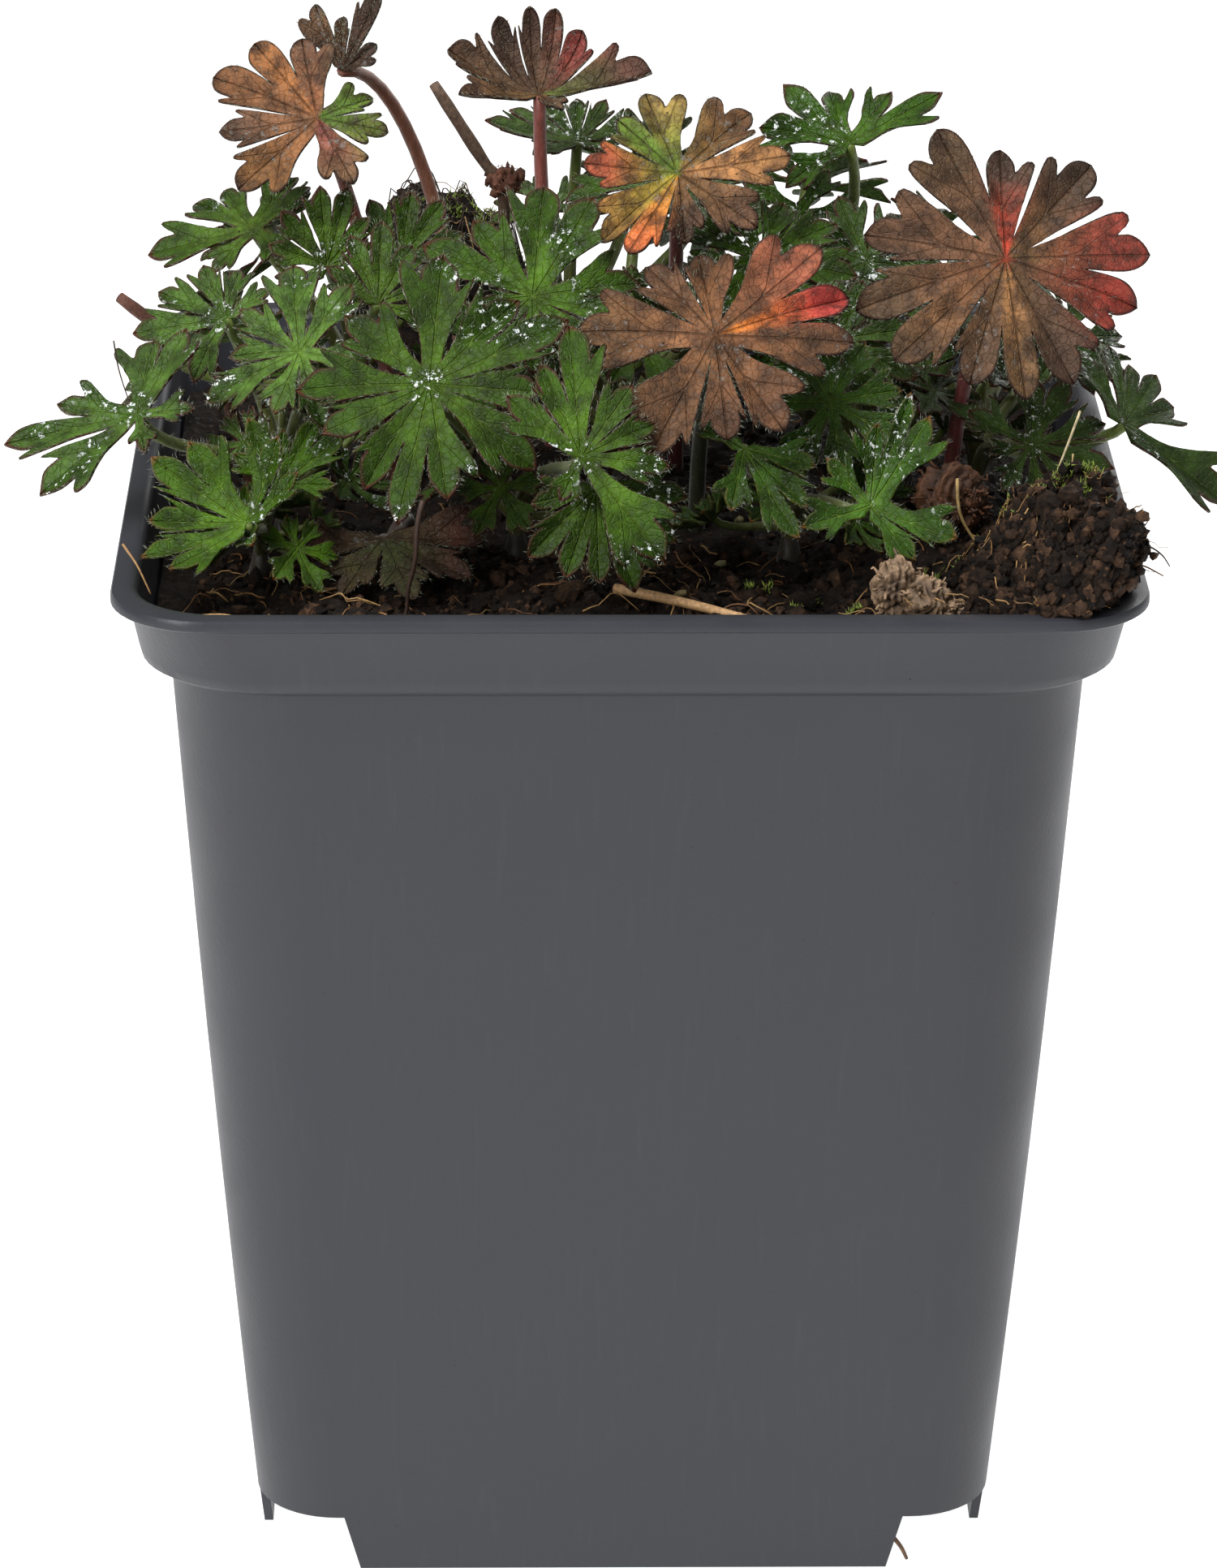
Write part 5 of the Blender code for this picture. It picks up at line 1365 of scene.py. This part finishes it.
def add_knob(heaped, rng):
    """A swollen joint: flakes and short hairs at random places on a squat ball."""
    middle, size = KNOB[1:]
    ball, faces = crumb_shape()
    for _ in range(KNOB_FLAKES):
        at = np.array(middle) + unit(rng.normal(0, 1, 3)) * rng.uniform(0.4, 0.85) * size * KNOB_SHAPE
        flake = ball * rng.uniform(0.25, 0.85, (1, 3)) * rng.uniform(0.7, 1.2, (len(ball), 1))
        heap(heaped, flake + at, faces, 0, linear(KNOB_FLAKE) * rng.uniform(0.5, 1.2))
    heap(heaped, ball * size * 0.82 * np.array(KNOB_SHAPE) + middle, faces, 0, linear(KNOB_CORE))
    base = np.array(middle) + unit(rng.normal(0, 1, (KNOB_HAIRS, 3))) * size * 0.8
    toward = base - middle + rng.normal(0, 0.9, (KNOB_HAIRS, 3))
    hair, faces = spikes(base, toward, rng.uniform(0.3, 0.8, KNOB_HAIRS), 0.04)
    heap(heaped, hair, faces, 0, linear(KNOB_HAIR))


def add_straw():
    """A straw on the peat: a tapering round stem with a slight bow, with painted shade darkening its back
    side.
    """
    low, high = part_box("straw")
    (x0, y0), (x1, y1) = STRAW_ENDS
    z = (low.z / MM + high.z / MM) / 2
    t = np.linspace(0, 1, 24)
    path = np.column_stack([x0 + (x1 - x0) * t, y0 + (y1 - y0) * t, z + 0.25 * np.sin(3 * t)])
    heaped = pile()
    points, corners = tube(path, STRAW_RADIUS * (1 - 0.2 * t), 12, UPWARD)
    # Painted shade: the sides that face the back, away from the lamps, take the darker colour
    side = ((np.arange(len(points)) % 12) > 6)[:, None]
    heap(heaped, points, corners, 0, np.where(side, linear(STRAW_PAINTED_SHADE), linear(STRAW_PALE)))
    dry = tinted_fibre("pale_dry_straw", 0.55, 0.08, 0.4)
    make_piece("dressed_straw", heaped, [dry], ("straw",))


def crumpled(size, rng, rows=56, columns=96):
    """A crumpled bundle: a ball whose radius goes from 0.52 to 1 with the sum of nine waves.

    Each wave is the absolute sine of the place along a random direction, so it has a sharp valley. The
    directions lie nearly level, which gives upright ribs. Gives the points, faces, and each point's height.
    """
    rise = np.linspace(0.02, np.pi - 0.02, rows)[:, None]
    turn = np.linspace(0, 2 * np.pi, columns, endpoint=False)[None]
    ball = np.stack([np.sin(rise) * np.cos(turn), np.sin(rise) * np.sin(turn), -np.cos(rise) + 0 * turn], -1)
    bent = ball + 0.22 * np.sin(3.1 * ball[..., [1, 2, 0]] + rng.uniform(0, 6, 3))
    fold = np.zeros((rows, columns))
    for k in range(9):
        way = rng.normal(0, 1, 3) * (1.0, 1.0, 0.35)
        way *= (2.6 + 1.5 * k) / np.linalg.norm(way)
        fold += np.abs(np.sin(bent @ way + rng.uniform(0, 6))) / (1 + 0.45 * k)
    fold = (fold - fold.min()) / (fold.max() - fold.min())
    points = ball * (0.52 + 0.48 * fold)[..., None] * np.array(size)
    return *capped(points, points[0].mean(0), points[-1].mean(0)), np.append(fold.ravel(), [0.5, 0.5])


def add_withered(rng):
    """Dead leaves shrivelled into ribbed bundles, with torn edges sticking out."""
    dry = tinted_fibre("withered_leaf_tissue", 0.7, 0.12, 0.35)
    for name, (lumps, dark, light) in CURLED.items():
        low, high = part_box(name)
        middle = np.array([(low.x + high.x) / 2, (low.y + high.y) / 2, low.z]) / MM
        heaped = pile()
        for offset, size in lumps:
            points, corners, height = crumpled(size, rng)
            # Painted shade: points low in the folds take the near-black crease colour, the ridges the rib
            # colour
            shade = height[:, None] ** 1.4
            at = middle + offset + np.array([0, 0, size[2] * 0.9])
            heap(heaped, points + at, corners, 0, linear(dark) * (1 - shade) + linear(light) * shade)
            out = unit(rng.normal(0, 1, (TORN_EDGES, 3)) * (1, 1, 0.8))
            path = at + out[:, None] * np.array(size) * np.linspace(0.55, 1.08, 6)[None, :, None]
            path = path + rng.normal(0, 0.16, path.shape) * np.array([0.2, 0.6, 1, 1, 1, 1])[None, :, None]
            for line in path:
                points, corners = tube(line, rng.uniform(0.16, 0.34) * np.linspace(1, 0.45, 6), 5)
                heap(heaped, points, corners, 0, linear(light) * rng.uniform(0.35, 1.1))
        make_piece(f"dressed_{name}", heaped, [dry], (name,))


def add_stage():
    """A plain pale floor, a soft sky, three large soft lamps and the camera of the photograph."""
    square = np.array([(-1, -1), (1, -1), (1, 1), (-1, 1)]) * FLOOR_HALF
    corners = np.column_stack([square, np.full(4, -FLOOR_UNDER_POT)])
    floor = put("floor", mesh_from("floor", corners, np.array([[0, 1, 2], [0, 2, 3]])))
    floor.data.materials.append(surface(
        "white_paper_sweep", Roughness=0.9, Specular_IOR_Level=0.1, Base_Color=rgba("#bcbcbc"),
        Emission_Color=rgba("#ffffff"), Emission_Strength=FLOOR_GLOW)[0])
    world = bpy.data.worlds.new("soft_sky")
    world.use_nodes = True
    feed(world.node_tree.nodes["Background"], (WHITE, SKY_LIGHT))
    bpy.context.scene.world = world
    for name, place, power, size in LAMPS:
        lamp = bpy.data.lights.new(name, "AREA")
        lamp.energy = power
        lamp.size = size * MM
        obj = put(name, lamp)
        obj.location = Vector(place) * MM
        obj.rotation_euler = (Vector(LAMPS_AIM) * MM - obj.location).to_track_quat("-Z", "Y").to_euler()
    a, e, roll = math.radians(CAMERA_AZIMUTH), math.radians(CAMERA_HEIGHT), math.radians(CAMERA_ROLL)
    back = Vector((math.sin(a) * math.cos(e), -math.cos(a) * math.cos(e), math.sin(e)))
    right = Vector((math.cos(a), math.sin(a), 0))
    up = back.cross(right)
    across = right * math.cos(roll) + up * math.sin(roll)
    upward = up * math.cos(roll) - right * math.sin(roll)
    camera = put("camera", bpy.data.cameras.new("camera"))
    camera.matrix_world = Matrix((across, upward, back)).transposed().to_4x4()
    aim = Vector((0, 0, CAMERA_AIM_UP)) + right * CAMERA_AIM_ACROSS
    camera.location = (back * CAMERA_DISTANCE + aim) * MM
    camera.data.lens = CAMERA_LENS
    camera.data.sensor_width = 36
    camera.data.clip_end = 20
    bpy.context.scene.camera = camera
    bpy.context.scene.view_settings.view_transform = "Standard"


main()
